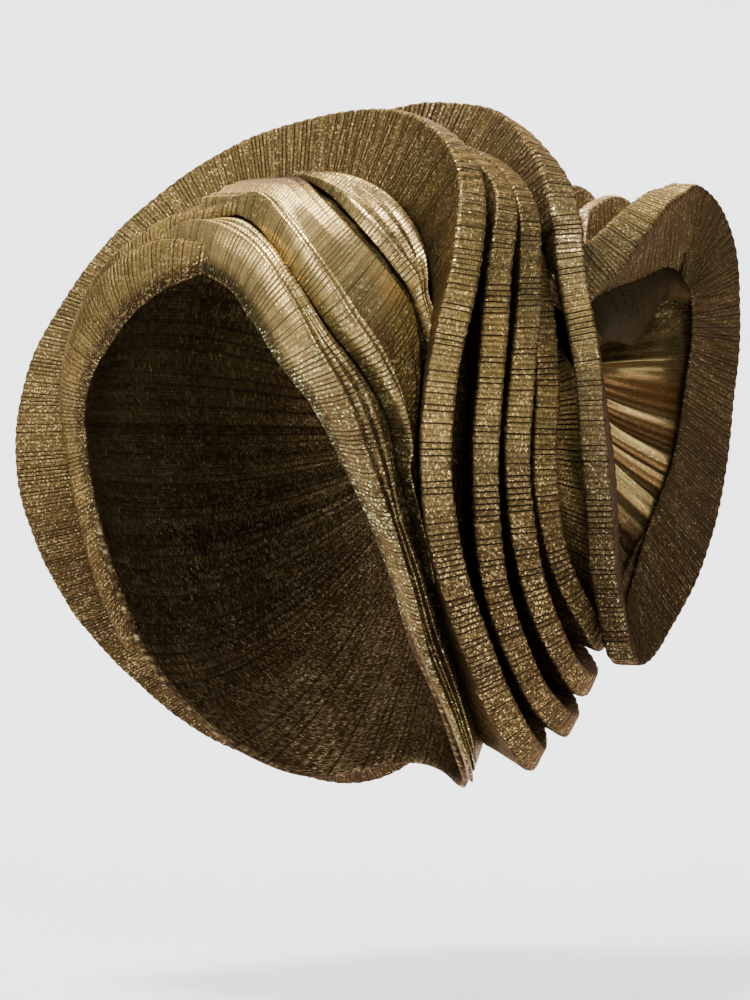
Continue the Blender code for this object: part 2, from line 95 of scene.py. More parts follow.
# Bands on the cap. Columns: turn and depth of the edge by the face, turn and depth of the other
# edge, share of the roll's height
RIGHT_HEM_ROLL = (
    (6, -0.850, 5, -0.822, 0.4), (-5, -0.874, -5, -0.836, 0.8), (-18, -0.895, -17, -0.845, 0.9),
    (-34, -0.905, -32, -0.848, 0.9), (-52, -0.892, -50, -0.825, 0.9), (-78, -0.812, -76, -0.735, 0.9),
    (-98, -0.665, -97, -0.595, 0.9), (-114, -0.545, -113, -0.475, 0.9), (-130, -0.385, -129, -0.320, 0.9),
    (-140, -0.240, -139, -0.185, 0.6),
)
RIGHT_TUCK_ROLL = (
    (1, -0.712, 1, -0.667, 0.5), (-8, -0.770, -8, -0.720, 0.9), (-20, -0.822, -19, -0.768, 1.0),
    (-34, -0.824, -33, -0.765, 1.0), (-52, -0.798, -51, -0.740, 1.0), (-72, -0.718, -71, -0.662, 0.9),
    (-88, -0.636, -87, -0.592, 0.6),
)
FRONT_HEM_BAND = (
    (-9, -0.800, -8, -0.774, 0.4), (1, -0.803, 2, -0.728, 0.8), (13, -0.828, 13, -0.690, 1.0),
    (27, -0.834, 27, -0.715, 1.0), (43, -0.840, 42, -0.732, 1.0), (66, -0.810, 62, -0.692, 1.0),
    (87, -0.720, 82, -0.562, 1.0), (105, -0.630, 100, -0.480, 1.0), (120, -0.520, 114, -0.432, 1.0),
    (131, -0.410, 126, -0.315, 1.0), (140, -0.285, 136, -0.180, 1.0), (149, -0.010, 146, 0.040, 0.8),
    (157, 0.270, 155, 0.300, 0.5),
)
FRONT_WRAP_BAND = (
    (7, -0.645, 5, -0.270, 0.5), (15, -0.662, 9, -0.260, 1.0), (28, -0.705, 21, -0.375, 1.0),
    (42, -0.718, 34, -0.415, 1.0), (60, -0.680, 47, -0.380, 1.0), (76, -0.585, 60, -0.315, 1.0),
    (88, -0.505, 74, -0.335, 1.0), (97, -0.468, 90, -0.372, 1.0), (104, -0.448, 98, -0.378, 0.6),
)
CROWN_GATHER = (
    (4, -0.215, 4, -0.085, 0.3), (19, -0.310, 18, -0.055, 0.7), (33, -0.360, 32, -0.085, 1.0),
    (46, -0.335, 44, -0.135, 1.0), (54, -0.300, 52, -0.215, 1.0), (60, -0.295, 58, -0.240, 0.6),
)

# Folds that stand on the cap. Columns: turn, depth, reach share, lean towards the front in degrees
HALO = (
    (-176, 0.80, 0.26, 6), (-160, 0.54, 0.42, 12), (-146, 0.20, 0.65, 24), (-128, -0.18, 0.88, 24),
    (-104, -0.42, 0.97, 16), (-78, -0.46, 0.84, 8), (-52, -0.32, 0.64, -2), (-25, -0.12, 0.54, -8),
    (0, 0.00, 0.72, -10), (20, 0.03, 0.98, -6), (37, 0.00, 1.04, 10), (56, -0.12, 1.00, 28),
    (80, -0.26, 0.79, 38), (105, -0.28, 0.74, 40), (125, -0.20, 0.71, 36), (140, 0.00, 0.74, 30),
    (150, 0.26, 0.74, 20), (156, 0.50, 0.66, 8), (160, 0.72, 0.50, 0),
)
SIDE_PLEAT_1 = (
    (22, 0.165, 0.90, 0), (40, 0.145, 1.10, 9), (60, 0.060, 1.02, 34), (82, 0.000, 0.87, 44),
    (105, -0.010, 0.81, 46), (125, 0.050, 0.77, 42), (140, 0.240, 0.86, 32), (150, 0.500, 1.02, 16),
    (155, 0.720, 0.80, 4),
)
SIDE_PLEAT_2 = (
    (20, 0.290, 0.92, 0), (40, 0.275, 1.16, 14), (60, 0.235, 1.02, 34), (82, 0.205, 0.87, 47),
    (105, 0.200, 0.84, 49), (125, 0.270, 0.84, 41), (140, 0.450, 1.00, 27), (149, 0.680, 1.12, 10),
    (153, 0.830, 0.78, 2),
)
SIDE_PLEAT_3 = (
    (22, 0.405, 0.72, 4), (42, 0.400, 0.78, 16), (60, 0.390, 0.74, 32), (82, 0.385, 0.70, 41),
    (105, 0.385, 0.67, 42), (123, 0.445, 0.76, 33), (137, 0.590, 1.07, 20), (146, 0.785, 1.15, 6),
)

# Crest and ring, one long fold. Columns: turn round the rosette's axis in degrees (0 front, 90 up),
# radius share, out share of ROSETTE_RADIUS, share of the head's own outward direction, lean in
# degrees, share of ROSETTE_FACE, share of ROSETTE_BACK
ROSETTE_RING = (
    (80, 1.31, -1.10, 1.0, 0, 1.3, 2.3), (82, 1.33, -0.94, 1.0, 0, 1.3, 2.3),
    (83, 1.32, -0.77, 0.9, 0, 1.2, 2.2), (82, 1.29, -0.61, 0.8, 0, 1.1, 2.2),
    (79, 1.24, -0.48, 0.7, 0, 1.0, 2.2), (74, 1.17, -0.36, 0.6, 0, 0.8, 2.2),
    (67, 1.08, -0.23, 0.4, 0, 0.6, 2.0), (59, 0.995, -0.15, 0.25, 0, 0.5, 1.8),
    (51, 0.91, -0.11, 0.12, 0, 0.5, 1.6), (19, 0.69, -0.01, 0.0, 0, 0.7, 1.0),
    (-25, 0.635, 0.0, 0.0, 0, 0.9, 1.0), (-58, 0.85, 0.0, 0.0, 0, 0.75, 1.0),
    (-76, 1.02, 0.01, 0.0, 0, 0.55, 0.9), (-98, 0.86, 0.03, 0.0, 0, 0.75, 1.0),
    (-118, 0.73, 0.07, 0.0, 0, 1.0, 1.0), (-150, 0.65, 0.10, 0.0, 0, 1.0, 1.0),
    (-185, 0.73, 0.10, 0.0, 0, 1.0, 1.0), (-213, 0.93, 0.12, 0.0, 0, 1.0, 1.0),
    (-232, 1.07, 0.12, 0.0, 0, 1.0, 1.0),
)
# Loose fold ends between crest and ring. Columns: turn, radius share, out share
FOLD_TIP_1 = ((92, 0.99, -0.44), (98, 1.03, -0.44), (105, 1.07, -0.44), (113, 1.10, -0.44))
FOLD_TIP_2 = ((90, 0.91, -0.29), (99, 0.97, -0.29), (108, 1.04, -0.29), (117, 1.10, -0.29))

# Closed loops round the rosette's axis. Columns: turn, radius share, out share, share of BOWL_FULLNESS
BOWL_EDGE = (
    (19, 0.54, -0.17, 0.0), (-3, 0.46, -0.15, 0.0), (-25, 0.48, -0.145, 0.1), (-58, 0.69, -0.145, 0.1),
    (-76, 0.86, -0.135, 0.1), (-98, 0.70, -0.115, 0.4), (-118, 0.55, -0.08, 0.8), (-150, 0.46, -0.05, 1.0),
    (-185, 0.53, -0.05, 1.0), (-213, 0.72, -0.05, 0.8), (-232, 0.84, -0.05, 0.4), (-252, 0.84, -0.12, 0.1),
    (-270, 0.78, -0.19, 0.0), (-290, 0.70, -0.26, 0.0), (-310, 0.60, -0.31, 0.0), (-327, 0.57, -0.25, 0.0),
)
# Columns: turn, radius share, out share
CENTRE_EDGE = (
    (19, 0.46, -0.13), (-3, 0.36, -0.12), (-25, 0.33, -0.115), (-58, 0.52, -0.11), (-76, 0.69, -0.10),
    (-98, 0.53, -0.08), (-118, 0.405, -0.04), (-150, 0.325, -0.01), (-185, 0.405, -0.01),
    (-213, 0.605, 0.00), (-232, 0.740, 0.00), (-252, 0.710, -0.155), (-270, 0.59, -0.285),
    (-290, 0.52, -0.315), (-310, 0.47, -0.275), (-327, 0.45, -0.17),
)


def smooth_rows(padded, count, spans):
    """Rows of a smooth curve through a table that has one spare row at each end."""
    places = np.linspace(0.0, spans, count)
    start = np.minimum(places.astype(int), len(padded) - 4)
    share = (places - start)[:, None]
    before, first, second, after = (padded[start + step] for step in range(4))
    bend = 2 * before - 5 * first + 4 * second - after
    twist = 3 * first - before - 3 * second + after
    return first + 0.5 * share * (second - before + share * (bend + share * twist))


def open_rows(table, count):
    """Rows evenly along an open table."""
    rows = np.array(table, float)
    padded = np.vstack([2 * rows[0] - rows[1], rows, 2 * rows[-1] - rows[-2]])
    return smooth_rows(padded, count, len(rows) - 1)


def loop_rows(table, count, full_turn):
    """Rows evenly round a closed table, whose first column gains full_turn in one round."""
    rows = np.array(table, float)
    round_on = np.zeros(rows.shape[1])
    round_on[0] = full_turn
    padded = np.vstack([rows[-1] - round_on, rows, rows[0] + round_on, rows[1] + round_on])
    return smooth_rows(padded, count + 1, len(rows))[:-1]


def closed_turn(degrees):
    """An angle between -180 and 180 degrees."""
    return (degrees + 180) % 360 - 180


def unit(vectors):
    return vectors / np.linalg.norm(vectors, axis=-1, keepdims=True)


def head_point(turn, depth, lift):
    """A point lift metres above the head form, by turn round the front-back axis and depth."""
    angle = np.radians(turn)
    side = np.abs(np.sin(angle)) / (HEAD_HALF_WIDTH + lift)
    rise = np.abs(np.cos(angle)) / (np.where(np.cos(angle) > 0, CROWN_RISE, NAPE_DROP) + lift)
    along = np.asarray(depth) * HEAD_HALF_LENGTH
    left = np.clip(1 - (np.abs(along) / (HEAD_HALF_LENGTH + lift)) ** HEAD_ROUNDNESS, 0, 1)
    radius = (left / (side ** HEAD_ROUNDNESS + rise ** HEAD_ROUNDNESS)) ** (1 / HEAD_ROUNDNESS)
    return np.stack([np.sin(angle) * radius, along + 0 * radius, np.cos(angle) * radius - CROWN_RISE], -1)


def head_parts(points, lift):
    """Points from the head's middle, the form's half sizes there, and shares that add up to 1 on it."""
    x, y, z = points[..., 0], points[..., 1], points[..., 2] + CROWN_RISE
    halves = np.stack([
        HEAD_HALF_WIDTH + lift + 0 * x, HEAD_HALF_LENGTH + lift + 0 * x,
        np.where(z > 0, CROWN_RISE, NAPE_DROP) + lift,
    ], -1)
    centred = np.stack([x, y, z], -1)
    return centred, halves, (np.abs(centred) / halves) ** HEAD_ROUNDNESS


def head_outward(points, lift=0.0):
    centred, halves, _ = head_parts(points, lift)
    slope = np.sign(centred) * (np.abs(centred) / halves) ** (HEAD_ROUNDNESS - 1) / halves
    return unit(slope)


DROP_STEPS = 160


def drop_to_cap(points, outward, longest):
    """How far each point goes against outward before it meets the cap, at most longest."""
    lengths = np.linspace(0.0, 1.0, DROP_STEPS + 1)[:, None] * np.asarray(longest)[None, :]
    path = points[None] - outward[None] * lengths[..., None]
    inside = head_parts(path, CAP_TOP)[2].sum(-1) < 1
    first = np.where(inside.any(0), inside.argmax(0), len(lengths) - 1)
    return lengths[first, np.arange(len(points))]


def path_frames(path, outward):
    """Along, out and across at each point of a path."""
    along = unit(np.gradient(path, axis=0))
    out = unit(outward - (outward * along).sum(-1, keepdims=True) * along)
    return along, out, np.cross(along, out)


def rosette_frame():
    """The rosette's centre, its axis out to the side, its forward and its upward direction."""
    azimuth = math.radians(ROSETTE_AZIMUTH)
    centre = np.array([
        ROSETTE_SIDE * HEAD_HALF_WIDTH, ROSETTE_REARWARD * HEAD_HALF_LENGTH,
        -ROSETTE_BELOW_CROWN * CROWN_RISE,
    ])
    axis = np.array([math.sin(azimuth), -math.cos(azimuth), 0.0])
    forward = np.array([-math.cos(azimuth), -math.sin(azimuth), 0.0])
    return centre, axis, forward, np.array([0.0, 0.0, 1.0])


def rosette_point(turn, radius, out):
    """A point by its turn round the rosette's axis, with radius and out as shares of ROSETTE_RADIUS."""
    centre, axis, forward, up = rosette_frame()
    angle = np.radians(turn)[..., None]
    spoke = np.cos(angle) * forward + np.sin(angle) * up
    from_axis = (np.asarray(radius) * ROSETTE_RADIUS)[..., None]
    along_axis = (np.asarray(out) * ROSETTE_RADIUS)[..., None]
    return centre + spoke * from_axis + axis * along_axis


# Ribs of the striped cloth, and the smooth rounding of its folds
RIB = 0.0022
HALO_RIB = 0.0015
RING_RIB = 0.0019
BAND_RIB = 0.0019
RIB_HEIGHT = 0.00018
# A rib's top is this power of a sine, and its mean level is taken off
RIB_ROUNDNESS = 0.7
RIB_MEAN = 0.6
WALL = 0.0013
SOFT_EASE = 0.0020
CORNER_STEPS = 5

# How the ribs drift along a piece. Columns: ribs, metres, start
RIB_DRIFTS = ((0.6, 0.031, 0.0), (0.35, 0.0113, 1.0))

# Slow waves of a standing fold. Columns: share of SLOW_WAVE, rate per rib, start
SLOW_WAVE = 0.0003
FOLD_WAVES = ((1.0, 0.33, 0.0), (0.6, 0.141, 2.0))
WALL_WAVE_SHARE = 0.35
# Small ripples across a fold: height, rate per rib, rate per metre across
RIPPLE = (0.00018, 2.3, 260)


def rib_count(path, pitch=RIB, last_pitch=None):
    """How many ribs lie before each point of a path, slightly uneven. The pitch may change on the way."""
    steps = np.linalg.norm(np.diff(path, axis=0), axis=1)
    length = np.concatenate([[0.0], np.cumsum(steps)])
    shares = length / length[-1]
    pitches = pitch + ((last_pitch or pitch) - pitch) * np.clip(shares * 2 - 0.5, 0, 1)
    ribs = np.concatenate([[0.0], np.cumsum(steps / pitches[1:])])
    for most, stretch, start in RIB_DRIFTS:
        ribs = ribs + most * np.sin(length / stretch + start)
    return ribs


def rib_relief(ribs, height=RIB_HEIGHT):
    """Rounded ribs with a sharp furrow between them."""
    return height * (np.abs(np.sin(np.pi * ribs)) ** RIB_ROUNDNESS - RIB_MEAN)


def raised(grid, amount, outward, closed=False):
    """The grid moved along its own normals, on the side that outward says. Closed means round each row."""
    by_column = np.roll(grid, -1, 1) - np.roll(grid, 1, 1) if closed else np.gradient(grid, axis=1)
    cross = np.cross(by_column, np.gradient(grid, axis=0))
    normals = cross / (np.linalg.norm(cross, axis=-1, keepdims=True) + 1e-12)
    side = np.sign((normals * outward).sum())
    return grid + normals * side * amount[..., None]


def by_rows(values, columns):
    """A grid whose value changes from row to row."""
    return np.repeat(np.asarray(values)[:, None], columns, 1)


def by_columns(values, rows):
    """A grid whose value changes along each row."""
    return np.repeat(np.asarray(values)[None, :], rows, 0)


def away_from(line, every):
    """Points out from the nearest point of a line, for each of so many points and nothing for the rest."""
    def away(points):
        nearest = [np.argmin(((line - point) ** 2).sum(1)) for point in points[::every]]
        signs = np.zeros_like(points)
        signs[::every] = points[::every] - line[nearest]
        return signs
    return away


# How a piece ends in a point: the last triangle's width on the map, and its tint and shade there, both
# painted shade
TIP_ACROSS = 0.003
TIP_TINT = 1.0
TIP_DARK = 0.5


def cloth_piece(
    name, grid, along, across, outward, node, finish, wrap=False, tip=None, ends=False, wall=WALL,
    tint=None, dark=None,
):
    """A fine cloth piece from a grid, with its ribs and its width written to the map called cloth.

    The map called tint holds how far each point is from the first colour towards a painted shade colour, and
    how deep in painted shade.
    """
    rows, columns = grid.shape[:2]
    spans = columns if wrap else columns - 1
    row, column = np.meshgrid(np.arange(rows - 1), np.arange(spans), indexing="ij")
    row, column = row.ravel(), column.ravel()
    corners = np.stack([
        np.stack([row, column], 1), np.stack([row, column + 1], 1),
        np.stack([row + 1, column + 1], 1), np.stack([row + 1, column], 1),
    ], 1)
    faces = corners[..., 0] * columns + corners[..., 1] % columns
    places = np.stack([along[corners[..., 0], corners[..., 1]], across[corners[..., 0], corners[..., 1]]], -1)
    points = grid.reshape(-1, 3)
    first, second, third = points[faces[:, 0]], points[faces[:, 1]], points[faces[:, 2]]
    score = (np.cross(second - first, third - first) * outward(first)).sum()
    if score < 0:
        faces = faces[:, ::-1]
        places = places[:, ::-1]
    faces = faces.tolist()
    places = places.reshape(-1, 2).tolist()
    points = points.tolist()
    if tip is not None:
        points.append(tuple(tip))
        for start in range(spans):
            last = (rows - 1) * columns
            edge = [last + start, last + (start + 1) % columns, len(points) - 1]
            marks = [(along[-1, start], across[-1, start]), (along[-1, start + 1], across[-1, start + 1])]
            marks.append((along[-1, start], across[-1, start] + TIP_ACROSS))
            if score < 0:
                edge.reverse()
                marks.reverse()
            faces.append(edge)
            places += marks
    if ends:
        for at, turned in ((0, score > 0), (rows - 1, score < 0)):
            ring = list(range(at * columns, (at + 1) * columns))
            marks = [(along[at, place], across[at, place]) for place in range(columns)]
            if turned:
                ring.reverse()
                marks.reverse()
            faces.append(ring)
            places += marks
    data = bpy.data.meshes.new(name)
    data.from_pydata(points, [], faces)
    layer = data.uv_layers.new(name="cloth")
    layer.data.foreach_set("uv", np.array(places, float).ravel())
    tint = np.zeros((rows, columns)) if tint is None else np.broadcast_to(tint, (rows, columns))
    dark = np.zeros((rows, columns)) if dark is None else dark
    at = np.empty(len(data.loops), int)
    data.loops.foreach_get("vertex_index", at)
    pairs = np.stack([np.append(tint.ravel(), TIP_TINT)[at], np.append(dark.ravel(), TIP_DARK)[at]], 1)
    data.uv_layers.new(name="tint").data.foreach_set("uv", pairs.ravel())
    data.validate()
    data.shade_smooth()
    piece = bpy.data.objects.new(name, data)
    bpy.context.scene.collection.objects.link(piece)
    data.materials.append(finish)
    if wall:
        skin = piece.modifiers.new("wall", "SOLIDIFY")
        skin.thickness = wall
        skin.offset = -1.0
        skin.use_even_offset = False
    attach(piece, "root")
    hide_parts(node)
    return piece


def declare_sheet(piece):
    """Evaluate a piece with its modifiers once and free the mesh again; nothing is kept."""
    view = bpy.context.evaluated_depsgraph_get()
    view.update()
    shown = piece.evaluated_get(view)
    mesh = shown.to_mesh()
    shown.to_mesh_clear()


def straight(start, end, steps):
    """Even points from start towards end, without its last point."""
    return [start + (end - start) * share for share in np.linspace(0, 1, steps + 1)[:-1]]


def rounded(start, corner, end):
    """Points of a smooth turn from start to end, without its last point."""
    shares = np.linspace(0, 1, CORNER_STEPS + 1)[:-1]
    return [
        start * (1 - share) ** 2 + corner * 2 * share * (1 - share) + end * share ** 2 for share in shares
    ]


def eased_section(front_foot, front_fold, back_fold, back_foot, wall_rows):
    """The points of a fold's section with round corners."""
    down = unit(front_foot - front_fold) * SOFT_EASE
    over = unit(back_fold - front_fold) * SOFT_EASE
    under = unit(back_foot - back_fold) * SOFT_EASE
    parts = straight(front_foot, front_fold + down, wall_rows - 1)
    parts += rounded(front_fold + down, front_fold, front_fold + over)
    parts += straight(front_fold + over, back_fold - over, CORNER_STEPS)
    parts += rounded(back_fold - over, back_fold, back_fold + under)
    parts += straight(back_fold + under, back_foot, wall_rows - 1)
    return np.stack(parts + [back_foot], 1)


def across_of(grid):
    """Distance along each section from its first point."""
    steps = np.linalg.norm(np.diff(grid, axis=1), axis=2)
    return np.concatenate([np.zeros((len(grid), 1)), np.cumsum(steps, 1)], 1)


def fold_piece(
    name, section, crown, node, finish, wall_rows=9, pitches=(RIB, RIB), shades=(0.8, 0.0, 0.8),
):
    """A standing fold with ribs, slow waves and soft corners.

    Shades are how much painted shade its front wall, its rim and its back wall get.
    """
    grid = eased_section(*section, wall_rows)
    columns = grid.shape[1]
    rim_start = wall_rows + CORNER_STEPS - 1
    rim_end = columns - wall_rows - CORNER_STEPS
    edges = (0, wall_rows, rim_start, rim_end, columns - wall_rows - 1, columns)
    front, rim, back = shades
    shade = np.interp(np.arange(columns), edges, (front, front, rim, rim, back, back))
    ribs = rib_count(crown, *pitches)
    middle = (section[0] + section[3]) / 2
    outward = grid - middle[:, None]
    slow = SLOW_WAVE * sum(share * np.sin(ribs * rate + start) for share, rate, start in FOLD_WAVES)
    across = across_of(grid)
    lively = np.sin(np.pi * across / across[:, -1:])
    amount = rib_relief(ribs)[:, None] + slow[:, None] * lively * WALL_WAVE_SHARE
    height, by_rib, by_width = RIPPLE
    amount = amount + height * np.sin(ribs[:, None] * by_rib + across * by_width)
    grid = raised(grid, amount, outward)
    along = by_rows(ribs, columns)
    piece = cloth_piece(name, grid, along, across, away_from(middle, 7), node, finish, tint=shade)
    declare_sheet(piece)
    return piece


def standing_corners(table, reach, rim, count):
    """The four corners of a standing fold's section at each station, and its crown line."""
    turn, depth, reach_share, lean = open_rows(table, count).T
    root = head_point(turn, depth, CAP_TOP)
    _, out, across = path_frames(root, head_outward(root))
    lean = np.radians(lean)[:, None]
    leant_out = out * np.cos(lean) + across * np.sin(lean)
    leant_across = across * np.cos(lean) - out * np.sin(lean)
    top = root + leant_out * (reach * reach_share)[:, None]
    half = rim / 2
    corners = (
        root + across * half, top + leant_across * half, top - leant_across * half, root - across * half,
    )
    return corners, top


# The ring's cloth goes on inwards under the gathered centre
FACE_REACH = 1.12
BACK_REACH = 1.9
FACE_DISH = 0.0095
FACE_LEAN = 0.35
SEAM_ROUNDS = 350
# Above this share of the head's own direction the cloth goes on straight to the head
HEADWARD = 0.4

# Last stretch of the ring, wide and leaning, to where it passes behind the crest. Columns as the ring's
RING_END = (
    (-252, 1.07, 0.090, 0.0, 6, 1.0, 1.0), (-261, 0.98, 0.065, 0.0, 16, 1.0, 1.0),
    (-270, 0.905, 0.050, 0.0, 26, 1.0, 0.9), (-281, 0.805, 0.020, 0.0, 38, 0.9, 0.7),
    (-295, 0.715, -0.030, 0.0, 50, 0.6, 0.5), (-304, 0.685, -0.080, 0.0, 56, 0.5, 0.4),
    (-313, 0.67, -0.120, 0.0, 60, 0.4, 0.4), (-321, 0.64, -0.165, 0.0, 60, 0.4, 0.4),
)
# Share of the rim's width along the ring. Columns: turn, share
RIM_SHARES = ((-330, 1.75), (-310, 1.65), (-290, 1.35), (-270, 1.10), (-250, 1.0), (90, 1.0))


def evened(line, rounds):
    """A line with its sharp turns rounded off and its ends kept."""
    line = line.copy()
    for _ in range(rounds):
        line[1:-1] = (line[:-2] + 2 * line[1:-1] + line[2:]) / 4
    return line


def ring_corners(table, rim, count):
    """The four corners of the crest and ring's section at each station, and its front fold line."""
    turn, radius, out, by_head, lean, face, back = open_rows(table, count).T
    _, axis, _, _ = rosette_frame()
    path = rosette_point(turn, radius, out)
    spoke = unit(rosette_point(turn, radius + 1, out) - path)
    by_head = np.clip(by_head, 0, 1)[:, None]
    _, outward, across = path_frames(path, unit(by_head * head_outward(path) + (1 - by_head) * spoke))
    across = across * np.sign((across @ axis).mean())
    lean = np.radians(lean)[:, None]
    leant_out = outward * np.cos(lean) + across * np.sin(lean)
    leant_across = across * np.cos(lean) - outward * np.sin(lean)
    turns, shares = np.array(RIM_SHARES).T
    back_fold = path - leant_across * (rim * np.interp(turn, turns, shares))[:, None]
    dish = FACE_DISH * np.clip(1 - 2 * by_head, 0, 1)
    face_out = outward * np.cos(lean * FACE_LEAN) + across * np.sin(lean * FACE_LEAN)
    face_length = drop_to_cap(path, face_out, face * ROSETTE_FACE * FACE_REACH)[:, None]
    to_head = np.clip(by_head / HEADWARD, 0, 1)
    back_out = unit(leant_out * (1 - to_head) + head_outward(back_fold) * to_head)
    back_length = drop_to_cap(back_fold, back_out, back * ROSETTE_BACK * BACK_REACH)[:, None]
    face_foot = evened(path - face_out * face_length - across * dish, SEAM_ROUNDS)
    corners = (face_foot, path, back_fold, back_fold - back_out * back_length)
    return corners, path


# Over which share of its length a fold end rises from the rosette's wall, from which share of its
# height, and how roundly
TIP_RISE = 0.16
TIP_LOWEST = 0.08
TIP_ROUNDNESS = 0.6


def tip_corners(table, rim, wall, count):
    """The four corners of a fold end's section, which rises from the wall and sinks back to it."""
    turn, radius, out = open_rows(table, count).T
    path = rosette_point(turn, radius, out)
    spoke = unit(rosette_point(turn, radius + 1, out) - path)
    back = rosette_point(turn, radius, out - rim / ROSETTE_RADIUS)
    shares = np.linspace(0, 1, count)
    height = np.clip(np.minimum(shares, 1 - shares) / TIP_RISE, TIP_LOWEST, 1)[:, None] ** TIP_ROUNDNESS
    sides = []
    for start in (path, back):
        lengths = []
        for point, upward in zip(start, spoke):
            _, normal, _, length = wall.ray_cast(Vector(point), Vector(-upward))
            level = abs(normal.dot(Vector(upward)))
            lengths.append(length - (LAY_GAP + CLOTH * math.sqrt(1 - level ** 2)) / level)
        foot = start - spoke * np.array(lengths)[:, None]
        sides.append((foot, foot + (start - foot) * height))
    (front_foot, front), (back_foot, back) = sides
    return (front_foot, front, back, back_foot), front


# How far a band's rounded lip reaches past its edge at most
LIP = 0.0011
BAND_COLUMNS = 56
# A band's ribs, as a share of RIB_HEIGHT, and how fast they fade out below its top
BAND_RIB_SHARE = 0.7
TOP_FADE = 0.25
# How many thicknesses of cloth below the band it lies in full shade
FULL_SHADE = 1.4


def crease_relief(shares, stations, creases):
    """Height of the creases at each station and share across, from rows as in ROLL_CREASES."""
    relief = np.zeros((len(stations), len(shares)))
    for place, half, height, drift in creases:
        offset = (shares[None, :] - place - drift * stations[:, None]) / half
        relief = relief + height * np.exp(-offset ** 2)
    return relief


def band_piece(name, table, section, height, count, creases, node, finish):
    """A laid band with round lips, long creases and ribs across its length."""
    face_turn, face_depth, far_turn, far_depth, share = open_rows(table, count).T
    loop = np.array(section, float)
    padded = np.vstack([loop[-1], loop, loop[0], loop[1]])
    shares, lifts = smooth_rows(padded, BAND_COLUMNS + 1, len(loop))[:-1].T
    stations = np.linspace(0, 1, count)
    relief = crease_relief(shares, stations, creases)
    top = np.clip(lifts, 0, 1) ** TOP_FADE
    sideways = np.radians(far_turn - face_turn) * HEAD_HALF_WIDTH
    width = np.hypot(sideways, (far_depth - face_depth) * HEAD_HALF_LENGTH)
    columns = []
    for place, lift in zip(shares, lifts):
        if place < 0:
            place = np.maximum(place, -LIP / width)
        turn = face_turn + (far_turn - face_turn) * place
        depth = face_depth + (far_depth - face_depth) * place
        raise_by = np.where(lift > 0, lift * height * share, lift * CLOTH)
        columns.append((turn, depth, BAND_TOP + raise_by))
    grid = np.stack([head_point(*column) for column in columns], 1)
    ribs = rib_count(grid[:, len(shares) // 4], BAND_RIB)
    amount = (relief + rib_relief(ribs, RIB_HEIGHT * BAND_RIB_SHARE)[:, None]) * top[None, :]
    grid = grid + head_outward(grid) * amount[..., None]
    steps = np.linalg.norm(np.roll(grid, -1, 1) - grid, axis=2)
    across = np.concatenate([np.zeros((count, 1)), np.cumsum(steps, 1)], 1)
    along = by_rows(ribs, len(shares) + 1)
    under = by_columns(np.clip(-lifts / FULL_SHADE, 0, 1), count)
    piece = cloth_piece(
        name, grid, along, across, away_from(grid.mean(1), 5), node, finish, wrap=True, ends=True,
        wall=None, dark=under,
    )
    declare_sheet(piece)
    return piece


def operator(operation, swapped=False):
    """A method that makes a node of a value and another value or a number."""
    if swapped:
        return lambda self, other: self.finish.math(operation, other, self)
    return lambda self, other: self.finish.math(operation, self, other)


class Value:
    """A number or a colour that varies over the cloth, as a node's socket."""

    def __init__(self, finish, socket):
        self.finish = finish
        self.socket = socket

    __add__, __radd__ = operator("ADD"), operator("ADD", swapped=True)
    __sub__, __rsub__ = operator("SUBTRACT"), operator("SUBTRACT", swapped=True)
    __mul__, __rmul__ = operator("MULTIPLY"), operator("MULTIPLY", swapped=True)
    __truediv__ = operator("DIVIDE")

    def part(self):
        return self.finish.math("FRACT", self)

    def floor(self):
        return self.finish.math("FLOOR", self)

    def size(self):
        return self.finish.math("ABSOLUTE", self)


